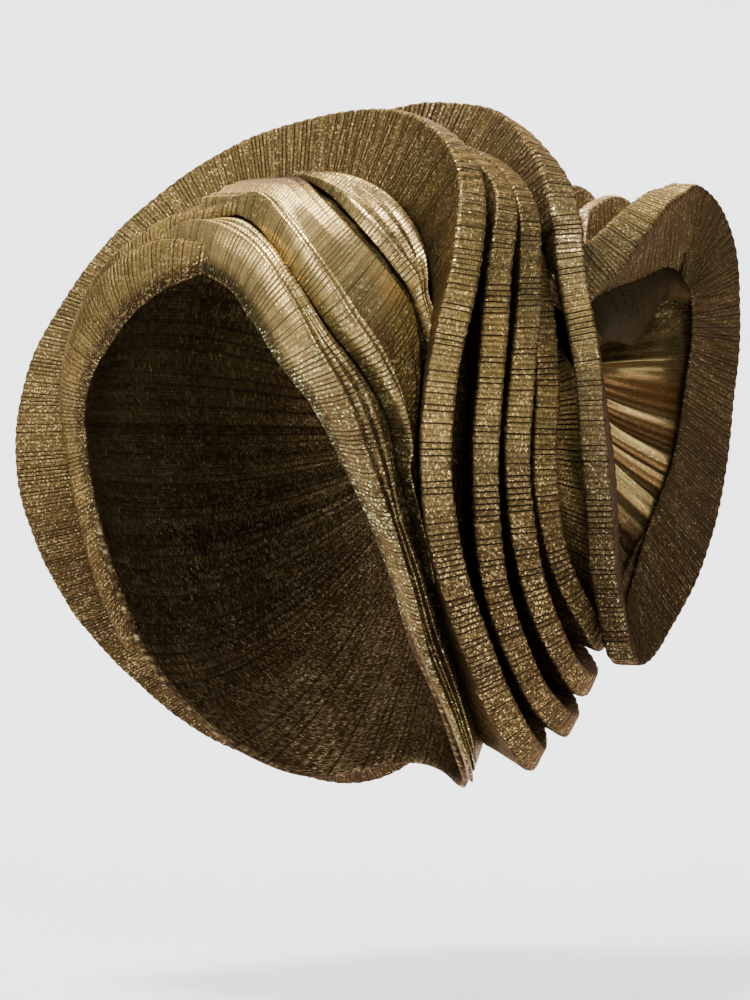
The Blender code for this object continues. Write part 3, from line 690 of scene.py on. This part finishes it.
class Finish:
    """One material of the head tie and the nodes that make it."""

    def __init__(self, name):
        self.material = bpy.data.materials.new(name)
        self.material.use_nodes = True
        self.tree = self.material.node_tree
        self.shader = self.tree.nodes["Principled BSDF"]

    def node(self, kind, settings=None, inputs=None, output=0):
        made = self.tree.nodes.new(kind)
        for key, value in (settings or {}).items():
            setattr(made, key, value)
        for key, value in (inputs or {}).items():
            self.join(value, made.inputs[key])
        return Value(self, made.outputs[output])

    def join(self, value, socket):
        if isinstance(value, Value):
            self.tree.links.new(value.socket, socket)
        else:
            socket.default_value = value

    def math(self, operation, first, second=0.0):
        return self.node("ShaderNodeMath", {"operation": operation}, {0: first, 1: second})

    def step(self, value, low, high):
        """0 below low, 1 above high, smooth between."""
        settings = {"interpolation_type": "SMOOTHSTEP"}
        return self.node("ShaderNodeMapRange", settings, {"Value": value, "From Min": low, "From Max": high})

    def blend(self, share, first, second):
        """A colour between two colours."""
        return self.node("ShaderNodeMix", {"data_type": "RGBA"}, {"Factor": share, 6: first, 7: second}, 2)

    def shaded(self, colour, level):
        """A colour made lighter or darker by a number."""
        if isinstance(colour, tuple):
            colour = colour[:3]
        return self.node("ShaderNodeVectorMath", {"operation": "SCALE"}, {0: colour, "Scale": level})

    def map_shares(self, name):
        """The two values of a named map."""
        made = self.tree.nodes.new("ShaderNodeUVMap")
        made.uv_map = name
        split = self.tree.nodes.new("ShaderNodeSeparateXYZ")
        self.tree.links.new(made.outputs[0], split.inputs[0])
        return Value(self, split.outputs[0]), Value(self, split.outputs[1])

    def body_place(self):
        return self.node("ShaderNodeTexCoord", output=3)

    def height(self, place):
        """Metres above the crown's top, below it negative."""
        return self.node("ShaderNodeSeparateXYZ", {}, {0: place}, 2)

    def cloud(self, place, scale, detail=2.0):
        """A cloudy number from 0 to 1, in patches of about 1 / scale metres."""
        inputs = {"Vector": place, "Scale": scale, "Detail": detail, "Distortion": 0.0}
        return self.node("ShaderNodeTexNoise", {}, inputs)

    def chance(self, first, second):
        """A number from 0 to 1, the same all over one cell of the cloth."""
        place = self.node("ShaderNodeCombineXYZ", {}, {0: first, 1: second, 2: 0.0})
        return self.node("ShaderNodeTexWhiteNoise", {"noise_dimensions": "3D"}, {"Vector": place})


THREAD = 0.00055
# Heights between which painted shade turns the cloth darker and redder towards the bottom
PAINTED_SHADE_HEIGHTS = (-0.160, -0.080)
# Fine stripes within a rib. Columns: place, half width where it is full and where it ends, strength
FINE_STRIPES = ((0.31, 0.03, 0.08, 0.55), (0.66, 0.02, 0.06, 0.35))
# The stripe between two ribs: distances from the rib's middle where it starts and is full
RIB_STRIPE = (0.29, 0.39)
# Sizes of the cloudy patches, per metre: colour, painted sparkle, wander of the stripes
TONE_SCALE, PATCH_SCALE, WANDER_SCALE = 16.0, 55.0, 70.0
THREADS_PER_RIB = 3.0
BUMP_DISTANCE = 0.0004
METAL = 0.9


def striped_lurex(
    name, gold, warm, dark, stripes=1.0, sparkle=1.0, rough=0.36, level=1.0, wander=0.15, bump=0.5,
    grain_and_glow=0.45, shade_heights=PAINTED_SHADE_HEIGHTS, tinted=False, edge=(0.50, 0.36, 0.20, 1.0),
):
    """Woven metallic cloth: thin dark stripes along its ribs, and between them bright threads and scattered
    sparkle, both painted in as glints.
    """
    finish = Finish(name)
    ribs, width = finish.map_shares("cloth")
    place = finish.body_place()
    tone = finish.step(finish.cloud(place, TONE_SCALE), 0.38, 0.64)
    shade, dark_share = finish.map_shares("tint")
    # Tinted pieces take their painted highlight and shade from the map in place of random patches
    if tinted:
        tone = shade
    low = 1 - finish.step(finish.height(place), *shade_heights)
    patch = finish.step(finish.cloud(place, PATCH_SCALE, 3.0), 0.40, 0.62)
    ribs = ribs + wander * (finish.cloud(place, WANDER_SCALE) - 0.5)
    phase = ribs.part()
    strong = 0.55 + 0.45 * finish.step(finish.chance((ribs + 0.5).floor(), 3.0), 0.30, 0.60)
    between = finish.step((phase - 0.5).size(), *RIB_STRIPE) * strong
    second, third = (
        (1 - finish.step((phase - middle).size(), full, end)) * strength
        for middle, full, end, strength in FINE_STRIPES
    )
    stripe = finish.math("MAXIMUM", between, second + third) * stripes
    thread = width / THREAD
    cell = finish.chance((ribs * THREADS_PER_RIB).floor(), thread.floor())
    cell_beside = finish.chance((ribs * THREADS_PER_RIB).floor() + 0.5, (thread * 1.2).floor() + 9.0)
    rib_level = 0.80 + 0.40 * finish.chance(ribs.floor(), 11.0)
    # Painted glints: bright thread dots and sparkle painted into the colour, fewer in painted shade
    painted_glow = finish.step(cell, 0.55 - 0.25 * patch, 1.0) * (0.7 * grain_and_glow)
    painted_glint = finish.step(cell, 0.955 - 0.13 * patch, 0.995) * sparkle + painted_glow
    painted_glint = painted_glint * (1 - stripe) * (1 - 0.7 * shade)
    body = finish.blend(tone, gold, warm)
    if not tinted:
        # Painted shade on the folds' walls and at the cap's tip
        body = finish.blend(shade, body, WALL_SHADE)
    # Painted shade: darker and redder towards the bottom
    body = finish.blend(low * 0.8, body, PAINTED_LOW_SHADE)
    # Painted shade: under the bands and in the centre's pocket
    body = finish.blend(dark_share * 0.9, body, DEEP_BROWN)
    body = finish.shaded(body, (0.85 - grain_and_glow / 2 + grain_and_glow * cell_beside) * rib_level * level)
    body = finish.blend(stripe * 0.93, body, dark)
    # Colour of the painted glints
    bright = tuple(min(1.0, channel * 3.2 + 0.06) for channel in gold[:3]) + (1.0,)
    body = finish.blend(painted_glint, body, bright)
    finish.join(body, finish.shader.inputs["Base Color"])
    finish.shader.inputs["Specular Tint"].default_value = edge
    finish.shader.inputs["Specular IOR Level"].default_value = 0.25
    finish.join(rough + 0.22 * stripe - 0.18 * painted_glint + 0.12 * shade, finish.shader.inputs["Roughness"])
    finish.join(METAL - 0.5 * stripe, finish.shader.inputs["Metallic"])
    weave = cell_beside * (1.8 * grain_and_glow) + (thread.part() - 0.5).size() * 0.4 - stripe * 0.8
    bumped = finish.node("ShaderNodeBump", {}, {"Strength": bump, "Distance": BUMP_DISTANCE, "Height": weave})
    finish.join(bumped, finish.shader.inputs["Normal"])
    return finish.material


GOLD = (0.170, 0.115, 0.036, 1.0)
OLIVE = (0.125, 0.091, 0.036, 1.0)
COPPER = (0.100, 0.058, 0.022, 1.0)
# Painted shade of the folds' walls
WALL_SHADE = (0.048, 0.029, 0.012, 1.0)
# Painted shade towards the bottom
PAINTED_LOW_SHADE = (0.046, 0.024, 0.010, 1.0)
BRIGHT = (0.470, 0.325, 0.120, 1.0)
RED_COPPER = (0.200, 0.080, 0.024, 1.0)
DUSTY = (0.260, 0.185, 0.105, 1.0)
NEAR_BLACK = (0.005, 0.004, 0.003, 1.0)
DEEP_BROWN = (0.014, 0.008, 0.004, 1.0)

pleat_cloth = striped_lurex("striped_pleat_cloth", GOLD, OLIVE, NEAR_BLACK)
ring_cloth = striped_lurex("rosette_ring_cloth", OLIVE, GOLD, NEAR_BLACK)
# The bands' painted shade towards the bottom starts higher up
band_cloth = striped_lurex(
    "satin_band_cloth", BRIGHT, COPPER, DEEP_BROWN, sparkle=0.7, rough=0.18, wander=0.3, bump=0.15,
    level=1.2, grain_and_glow=0.22, shade_heights=(-0.110, -0.025),
)
roll_cloth = striped_lurex(
    "rolled_hem_cloth", GOLD, OLIVE, DEEP_BROWN, stripes=0.95, sparkle=0.4, rough=0.33, wander=0.2,
)
# The centre's bright colour is a painted highlight on its ridges, its red copper painted shade in the valleys
centre_cloth = striped_lurex(
    "gathered_centre_cloth", BRIGHT, RED_COPPER, DEEP_BROWN, stripes=0.25, sparkle=0.2, rough=0.22,
    bump=0.15, level=0.85, grain_and_glow=0.15, tinted=True,
)
cone_cloth = striped_lurex(
    "smooth_sheet_cloth", OLIVE, COPPER, DEEP_BROWN, stripes=0.3, sparkle=0.0, level=0.36, rough=0.5,
    bump=0.1, grain_and_glow=0.08, edge=(0.16, 0.11, 0.06, 1.0),
)
tip_cloth = striped_lurex("fold_end_cloth", DUSTY, GOLD, DEEP_BROWN, stripes=0.5, sparkle=1.3, level=0.8)
cap_cloth = striped_lurex("cap_cloth", OLIVE, COPPER, NEAR_BLACK, stripes=0.8, sparkle=0.3, level=0.8)

# The cap. Its puckers are so many round the turn, and as deep as this
CAP_TUCK = 0.012
CAP_PUCKERS = 46
PUCKER_HALF_DEPTH = 0.0005
CAP_SINK = 0.0001
CAP_RIBS = 170
CAP_ROW_WIDTH = 0.005
cap_count, cap_rows = 240, 40
cap_turn, cap_depth = loop_rows(CAP_EDGE, cap_count, 360).T
cap_start = np.arcsin(np.clip(cap_depth + CAP_TUCK, -1, 1))
cap_grid = np.stack([
    head_point(cap_turn, np.sin(cap_start + (math.pi / 2 - cap_start) * row / cap_rows), CLOTH)
    for row in range(cap_rows)
])
cap_shares = np.arange(cap_rows)[:, None] / cap_rows
cap_angle = np.radians(cap_turn)[None, :]
cap_puckers = np.sin(cap_angle * CAP_PUCKERS + 3 * np.sin(cap_angle * 5))
cap_amount = -PUCKER_HALF_DEPTH * (1 - cap_puckers) * np.sin(np.pi * cap_shares) - CAP_SINK
cap_grid = raised(cap_grid, cap_amount, head_outward(cap_grid), closed=True)
cap_along = by_columns(np.linspace(0, CAP_RIBS, cap_count + 1), cap_rows)
cap_across = by_rows(np.arange(cap_rows) * CAP_ROW_WIDTH, cap_count + 1)
cap = cloth_piece(
    "cap_cloth_wall", cap_grid, cap_along, cap_across, head_outward, "cap", cap_cloth,
    wrap=True, tip=(0.0, HEAD_HALF_LENGTH + CLOTH, -CROWN_RISE), wall=CLOTH,
)
declare_sheet(cap)

# Sections of the laid bands. Columns: share across, lift: 0 to 1 above the band, -1 its underside
ROLL_SECTION = (
    (0.15, -2.75), (-0.06, -2.7), (-0.24, -1.8), (-0.26, -0.2), (-0.14, 0.55), (0.05, 0.90), (0.26, 1.02),
    (0.48, 1.02), (0.68, 0.92), (0.86, 0.58), (0.97, 0.12), (1.0, -0.5), (0.95, -0.95), (0.6, -0.95),
    (0.3, -0.95),
)
TUCK_SECTION = (
    (0.03, -0.9), (-0.02, -0.2), (0.02, 0.40), (0.10, 0.78), (0.26, 1.0), (0.48, 1.02), (0.68, 0.92),
    (0.86, 0.58), (0.97, 0.12), (1.0, -0.5), (0.95, -0.95), (0.6, -0.95), (0.3, -0.95),
)
HEM_SECTION = (
    (0.05, -2.75), (-0.06, -2.7), (-0.13, -1.6), (-0.12, 0.0), (-0.06, 0.60), (0.03, 0.92), (0.10, 1.02),
    (0.17, 0.92), (0.24, 0.66), (0.31, 0.38), (0.37, 0.38), (0.44, 0.56), (0.52, 0.50), (0.60, 0.26),
    (0.70, 0.22), (0.80, 0.24), (0.92, 0.10), (1.0, -0.5), (0.95, -0.95), (0.6, -0.95), (0.3, -0.95),
)
WRAP_SECTION = (
    (0.02, -0.9), (0.0, -0.3), (0.0, 0.55), (0.025, 1.05), (0.065, 1.10), (0.10, 0.70), (0.125, 0.28),
    (0.155, 0.30), (0.20, 0.62), (0.25, 0.52), (0.30, 0.22), (0.45, 0.26), (0.60, 0.20), (0.78, 0.14),
    (0.93, 0.06), (1.0, -0.5), (0.95, -0.95), (0.6, -0.95), (0.3, -0.95),
)
GATHER_SECTION = (
    (0.01, -0.9), (-0.01, -0.2), (0.04, 0.55), (0.12, 1.0), (0.20, 0.80), (0.28, 0.32), (0.36, 0.62),
    (0.44, 0.95), (0.52, 0.70), (0.60, 0.30), (0.69, 0.72), (0.78, 1.0), (0.88, 0.60), (0.97, 0.1),
    (1.0, -0.5), (0.95, -0.95), (0.6, -0.95), (0.3, -0.95),
)
# Creases along the bands. Columns: share across, half width as a share, height in metres, drift of the
# crease across the band from one end to the other
ROLL_CREASES = ((0.35, 0.07, -0.0007, 0.25), (0.72, 0.06, -0.0006, -0.2))
HEM_CREASES = ((0.31, 0.03, -0.0006, 0.02), (0.66, 0.04, -0.0005, 0.05), (0.78, 0.04, 0.0004, -0.05))
WRAP_CREASES = (
    (0.36, 0.02, -0.0007, 0.10), (0.50, 0.05, 0.0009, 0.22), (0.60, 0.02, -0.0006, 0.18),
    (0.74, 0.05, 0.0007, -0.10), (0.86, 0.02, -0.0006, -0.14),
)
GATHER_CREASES = ((0.08, 0.03, -0.0006, 0.1), (0.5, 0.03, -0.0006, -0.08), (0.86, 0.03, -0.0006, 0.05))

# What a band's cloth goes on with past the solid's ends, under the next layer. Same columns as the bands
ROLL_UNDER = ((24, -0.790, 23, -0.765, 0.05), (14, -0.822, 13, -0.798, 0.15))
TUCK_UNDER = ((17, -0.61, 16, -0.57, 0.3), (9, -0.655, 8, -0.61, 0.45))
HEM_UNDER = ((-16, -0.822, -15.5, -0.812, 0.2),)
WRAP_UNDER = ((-5, -0.61, -4, -0.30, 0.3),)
WRAP_END = ((116, -0.375, 110, -0.32, 0.5), (128, -0.28, 124, -0.25, 0.4))
GATHER_END = ((72, -0.275, 70, -0.20, 0.6), (84, -0.26, 82, -0.20, 0.4))

# Columns: node, table, section, height, stations, creases, slot, finish
BANDS = (
    (
        "right_hem_roll", ROLL_UNDER + RIGHT_HEM_ROLL, ROLL_SECTION, ROLL_HEIGHT, 420, ROLL_CREASES,
        "roll_cloth", roll_cloth,
    ),
    (
        "right_tuck_roll", TUCK_UNDER + RIGHT_TUCK_ROLL, TUCK_SECTION, ROLL_HEIGHT * 0.8, 260, ROLL_CREASES,
        "roll_cloth", roll_cloth,
    ),
    (
        "front_hem_band", HEM_UNDER + FRONT_HEM_BAND, HEM_SECTION, ROLL_HEIGHT, 460, HEM_CREASES,
        "band_cloth", band_cloth,
    ),
    (
        "front_wrap_band", WRAP_UNDER + FRONT_WRAP_BAND + WRAP_END, WRAP_SECTION, ROLL_HEIGHT, 300,
        WRAP_CREASES, "band_cloth", band_cloth,
    ),
    (
        "crown_gather", CROWN_GATHER + GATHER_END, GATHER_SECTION, GATHER_HEIGHT, 200, GATHER_CREASES,
        "band_cloth", band_cloth,
    ),
)
for node, table, section, height, count, creases, slot, finish in BANDS:
    band_piece(node + "_cloth", table, section, height, count, creases, node, finish)

# Halo and side pleats
HALO_END = ((163, 0.82, 0.10, 0),)
corners, crown = standing_corners(HALO + HALO_END, HALO_REACH, HALO_RIM, 900)
fold_piece(
    "halo_ring_cloth", corners, crown, "halo_ring", pleat_cloth, wall_rows=12,
    pitches=(HALO_RIB, RIB), shades=(0.48, 0.0, 0.8),
)
# The pleats' cloth goes on over the crown, behind the halo, and flattens out there and at the nape.
# Same columns as the pleats
PLEAT_STARTS = (
    ((-8, 0.11, 0.12, -8), (6, 0.14, 0.72, -6)), ((-10, 0.22, 0.12, -8), (4, 0.26, 0.84, -6)),
    ((-8, 0.36, 0.12, 0), (7, 0.39, 0.66, 0)),
)
PLEAT_ENDS = ((157, 0.80, 0.12, 0), (155, 0.90, 0.12, 0), (150, 0.88, 0.12, 0))
for number, table in enumerate((SIDE_PLEAT_1, SIDE_PLEAT_2, SIDE_PLEAT_3), 1):
    table = PLEAT_STARTS[number - 1] + table + PLEAT_ENDS[number - 1:number]
    corners, crown = standing_corners(table, PLEAT_REACH, PLEAT_RIM, 520)
    node = f"side_pleat_{number}"
    fold_piece(node + "_cloth", corners, crown, node, pleat_cloth)

# Rosette
corners, crown = ring_corners(ROSETTE_RING + RING_END, ROSETTE_RIM, 1000)
fold_piece(
    "rosette_ring_cloth", corners, crown, "rosette_ring", ring_cloth, wall_rows=14,
    pitches=(RIB, RING_RIB),
)

rosette_centre, rosette_axis = rosette_frame()[:2]


def along_rosette(points):
    """The rosette's axis, for each point."""
    return by_columns(rosette_axis, len(points))


def bowl_grid(count, row_count):
    """Rows of the rosette's outer wall, from its edge to the cap."""
    turn, radius, out, fullness = loop_rows(BOWL_EDGE, count, -360).T
    edge = rosette_point(turn, radius, out)
    anchor = rosette_centre * np.array(BOWL_ANCHOR)
    inward = unit(edge - anchor)
    reach = drop_to_cap(edge, inward, np.linalg.norm(edge - anchor, axis=1))
    root = edge - inward * reach[:, None]
    swell = unit(edge - edge.mean(0)) * (BOWL_FULLNESS * fullness)[:, None]
    shares = np.linspace(0, 1, row_count)
    return np.stack([edge + (root - edge) * share + swell * math.sin(math.pi * share) for share in shares])


BOWL_ROW_WIDTH = 0.004
BOWL_RIB_HEIGHT = 0.0006
BOWL_WAVE = 0.0005
bowl_count, bowl_rows = 360, 24
bowl = bowl_grid(bowl_count, bowl_rows)
bowl_ribs = rib_count(np.vstack([bowl[0], bowl[0][:1]]))
bowl_across = by_rows(np.arange(bowl_rows) * BOWL_ROW_WIDTH, bowl_count + 1)
bowl_relief = rib_relief(bowl_ribs[:-1], BOWL_RIB_HEIGHT) + BOWL_WAVE * np.sin(bowl_ribs[:-1] * 0.37)
bowl_amount = by_columns(bowl_relief, bowl_rows) * np.linspace(1, 0.3, bowl_rows)[:, None]
bowl = raised(bowl, bowl_amount, bowl - rosette_centre, closed=True)
bowl_piece = cloth_piece(
    "rosette_bowl_cloth", bowl, by_columns(bowl_ribs, bowl_rows), bowl_across,
    lambda points: points - rosette_centre, "rosette_bowl", pleat_cloth, wrap=True,
)
declare_sheet(bowl_piece)

# The bowl as plain as the solid's, for the fold ends to stand on
wall_count, wall_rows = 60, 12
wall_points = bowl_grid(wall_count, wall_rows).reshape(-1, 3)
wall_faces = []
for row in range(wall_rows - 1):
    for column in range(wall_count):
        beside = (column + 1) % wall_count
        near, far = row * wall_count, (row + 1) * wall_count
        wall_faces.append((near + column, near + beside, far + beside, far + column))
bowl_wall = BVHTree.FromPolygons([Vector(point) for point in wall_points], wall_faces)
# Where the fold ends start and end on the rosette's wall. Same columns as the tips
TIP_ENDS = (
    ((85, 0.95, -0.44), (120, 1.10, -0.44)), ((83, 0.86, -0.29), (124, 1.12, -0.29)),
)
for number, table in enumerate((FOLD_TIP_1, FOLD_TIP_2), 1):
    first_end, last_end = TIP_ENDS[number - 1]
    table = (first_end,) + table + (last_end,)
    corners, crown = tip_corners(table, TIP_RIM, bowl_wall, 80)
    node = f"fold_tip_{number}"
    fold_piece(node + "_cloth", corners, crown, node, tip_cloth, shades=(0, 0, 0))

# Ridges of the gathered centre. Columns: turn where a ridge meets the edge, half width in degrees, height
CENTRE_RIDGES = (
    (15, 14, 0.0020), (-38, 8, 0.0040), (-67, 4.5, 0.0065), (-88, 4, 0.0070), (-104, 3, 0.0040),
    (-118, 5, 0.0085), (-136, 3, 0.0035), (-152, 5, 0.0075), (-181, 4, 0.0050), (-211, 5, 0.0095),
    (-262, 10, 0.0020), (-320, 12, 0.0020),
)
# The pocket beside the smooth sheet, dark with painted shade: turn, half width in degrees, share of the
# way in, half length as a share, depth
POCKET = (-238, 20, 0.30, 0.32, 0.013)
# Fine gathers of the centre: how many round the turn, and their height
FINE_GATHERS = 60
FINE_HEIGHT = 0.0005
CENTRE_ROW_WIDTH = 0.0009
CENTRE_WALL = 0.0010
# Ridges this high keep the bright colour of the painted highlight; the seam at the edge is this share of the
# way in
HIGHLIGHT_RIDGE = 0.0045
SEAM_SHARE = 0.03

pocket_turn, pocket_half_turn, pocket_place, pocket_half, pocket_depth = POCKET
centre_count, centre_rows = 540, 64
turn, radius, out = loop_rows(CENTRE_EDGE, centre_count, -360).T
edge = rosette_point(turn, radius, out)
knot = rosette_point(np.array(KNOT[0]), KNOT[1], KNOT[2])
bearing = np.radians(turn)
hollow = 1 - 0.6 * np.clip(np.sin(bearing), 0, 1)
ridges = np.zeros(len(turn))
for place, half, height in CENTRE_RIDGES:
    offset = np.abs(closed_turn(turn - place)) / half
    ridges = ridges + height * np.exp(-offset ** 1.2)
pocket = pocket_depth * np.exp(-(closed_turn(turn - pocket_turn) / pocket_half_turn) ** 2)
share_rows = (np.arange(centre_rows) / centre_rows)[:, None]
pocket_rows = np.exp(-((share_rows - pocket_place) / pocket_half) ** 2)
pocket_share = (pocket / pocket_depth)[None, :] * pocket_rows
by_seam = np.clip(1 - share_rows / SEAM_SHARE, 0, 1)
# Painted shade in the pocket
centre_pocket_shade = np.clip(pocket_share * 1.9 - by_seam, 0, 1)
# Painted highlight on the ridges and at the seam, painted shade in the redder valleys between
centre_valley_shade = np.clip(1 - ridges[None, :] / HIGHLIGHT_RIDGE - by_seam - pocket_share, 0, 1)
centre_grid = []
for row in range(centre_rows):
    share = row / centre_rows
    arch = math.sin(math.pi * share)
    fine = FINE_HEIGHT * np.sin(bearing * FINE_GATHERS + 5 * share) * (1 - share)
    sink = CENTRE_DEPTH * hollow * arch - (ridges + fine - 0.002) * (1 - share) ** 0.6 * arch ** 0.5
    sink = sink + pocket * pocket_rows[row]
    centre_grid.append(edge + (knot - edge) * share - rosette_axis * np.reshape(sink, (-1, 1)))
centre_grid = np.stack(centre_grid)
centre_ribs = rib_count(np.vstack([edge, edge[:1]]), RIB * 0.8)
centre_across = by_rows(np.arange(centre_rows) * CENTRE_ROW_WIDTH, centre_count + 1)
centre_piece = cloth_piece(
    "rosette_centre_cloth", centre_grid, by_columns(centre_ribs, centre_rows), centre_across,
    along_rosette, "rosette_centre", centre_cloth, wrap=True, tip=knot, wall=CENTRE_WALL,
    tint=centre_valley_shade, dark=centre_pocket_shade,
)
declare_sheet(centre_piece)

# The smooth sheet from under the ring's lip to its own free lip, the far end included. Columns: turn,
# radius and out of the edge under the ring, then turn, radius and out of the free lip
SMOOTH_SHEET = (
    (-320, 0.62, -0.15, -321, 0.46, -0.14), (-300, 0.63, -0.14, -290, 0.36, -0.14),
    (-280, 0.65, -0.12, -263, 0.33, -0.12), (-264, 0.71, -0.09, -252, 0.43, -0.09),
    (-252, 0.75, -0.06, -247, 0.56, -0.06), (-243, 0.74, -0.03, -240, 0.61, -0.03),
    (-234, 0.71, -0.01, -232, 0.65, -0.01),
)
CONE_ROW_WIDTH = 0.001
cone_count, cone_rows = 160, 40
rows = open_rows(SMOOTH_SHEET, cone_count)
cone_edge = rosette_point(*rows[:, :3].T)
cone_lip = rosette_point(*rows[:, 3:].T)
cone_shares = np.linspace(0, 1, cone_rows)
cone_swell = (CONE_SWELL * np.sin(math.pi * cone_shares))[:, None, None] * rosette_axis
cone_grid = cone_edge[None] + (cone_lip - cone_edge)[None] * cone_shares[:, None, None] + cone_swell
cone_ribs = rib_count(cone_edge)
cone_piece = cloth_piece(
    "rosette_cone_cloth", cone_grid, by_columns(cone_ribs, cone_rows),
    by_rows(np.arange(cone_rows) * CONE_ROW_WIDTH, cone_count),
    along_rosette, "rosette_cone", cone_cloth,
)
declare_sheet(cone_piece)


def plain_finish(name, colour, rough):
    finish = Finish(name)
    finish.shader.inputs["Roughness"].default_value = rough
    soft = finish.cloud(finish.body_place(), 3.0)
    finish.join(finish.shaded(colour, 0.985 + 0.03 * soft), finish.shader.inputs["Base Color"])
    return finish.material


# Turn of the camera to the wearer's left, in degrees. The floor follows it
CAMERA_TURN = 36

# Pale floor that sweeps up into the backdrop
FLOOR_LEVEL = -0.335
SWEEP_START = 1.1
SWEEP_RADIUS = 0.9
SWEEP_STEPS = 24
BACKDROP_REACH = 4.0
BACKDROP_HALF_WIDTH = 5.0
camera_azimuth = math.radians(CAMERA_TURN)
back_way = np.array([math.sin(camera_azimuth), -math.cos(camera_azimuth), 0.0])
right_way = np.array([math.cos(camera_azimuth), math.sin(camera_azimuth), 0.0])
sweep = [(-BACKDROP_REACH, 0.0)]
for step in range(SWEEP_STEPS + 1):
    bend = math.pi / 2 * step / SWEEP_STEPS
    sweep.append((SWEEP_START + SWEEP_RADIUS * math.sin(bend), SWEEP_RADIUS * (1 - math.cos(bend))))
sweep.append((SWEEP_START + SWEEP_RADIUS, BACKDROP_REACH))
floor_points = []
for far, high in sweep:
    for side in (-BACKDROP_HALF_WIDTH, BACKDROP_HALF_WIDTH):
        spot = right_way * side - back_way * far
        floor_points.append((spot[0], spot[1], FLOOR_LEVEL + high))
floor_faces = [(2 * at, 2 * at + 1, 2 * at + 3, 2 * at + 2) for at in range(len(sweep) - 1)]
floor_data = bpy.data.meshes.new("pale_floor")
floor_data.from_pydata(floor_points, [], floor_faces)
floor_data.shade_smooth()
floor = bpy.data.objects.new("pale_floor", floor_data)
bpy.context.scene.collection.objects.link(floor)
floor_data.materials.append(plain_finish("pale_floor_finish", (0.86, 0.87, 0.88, 1.0), 0.9))

# Soft studio light
world = bpy.data.worlds.new("studio")
world.use_nodes = True
background = world.node_tree.nodes["Background"]
background.inputs["Color"].default_value = (0.93, 0.95, 1.0, 1.0)
background.inputs["Strength"].default_value = 0.26
bpy.context.scene.world = world

# Columns: name, place, aim, width, height, power in watts, colour
LAMPS = (
    ("key_softbox", (-0.2, -2.0, 0.7), (0.05, 0.0, -0.05), 0.8, 0.8, 20.0, (1.0, 0.97, 0.92)),
    ("top_softbox", (0.10, -0.70, 1.35), (0.0, 0.0, 0.0), 0.30, 0.30, 56.0, (1.0, 0.99, 0.96)),
    ("side_softbox", (1.7, -1.4, 0.6), (0.1, 0.0, -0.1), 0.6, 1.3, 30.0, (1.0, 0.98, 0.95)),
    ("backdrop_wash", (-0.6, 0.9, 1.9), (-1.3, 1.8, 0.0), 1.6, 1.6, 125.0, (1.0, 1.0, 1.0)),
)
for name, place, aim, width, height, power, colour in LAMPS:
    light = bpy.data.lights.new(name, "AREA")
    light.shape = "RECTANGLE"
    light.size = width
    light.size_y = height
    light.energy = power
    light.color = colour
    lamp = bpy.data.objects.new(name, light)
    lamp.location = place
    lamp.rotation_mode = "QUATERNION"
    lamp.rotation_quaternion = (Vector(aim) - Vector(place)).to_track_quat("-Z", "Y")
    bpy.context.scene.collection.objects.link(lamp)

# Camera: level, to the wearer's left, DISTANCE metres from what it aims at
DISTANCE = 1.3
LENS = 117.0
AIM = np.array([0.0, 0.0, -0.095])
AIM_RIGHT_OF_EYE = -0.026
AIM_ABOVE_EYE = 0.030
eye = AIM + back_way * DISTANCE - right_way * AIM_RIGHT_OF_EYE - np.array([0.0, 0.0, AIM_ABOVE_EYE])
camera_data = bpy.data.cameras.new("camera")
camera_data.lens = LENS
camera_data.sensor_width = 36.0
camera = bpy.data.objects.new("camera", camera_data)
camera.matrix_world = Matrix((
    (right_way[0], 0.0, back_way[0], eye[0]), (right_way[1], 0.0, back_way[1], eye[1]),
    (right_way[2], 1.0, back_way[2], eye[2]), (0.0, 0.0, 0.0, 1.0),
))
bpy.context.scene.collection.objects.link(camera)
bpy.context.scene.camera = camera
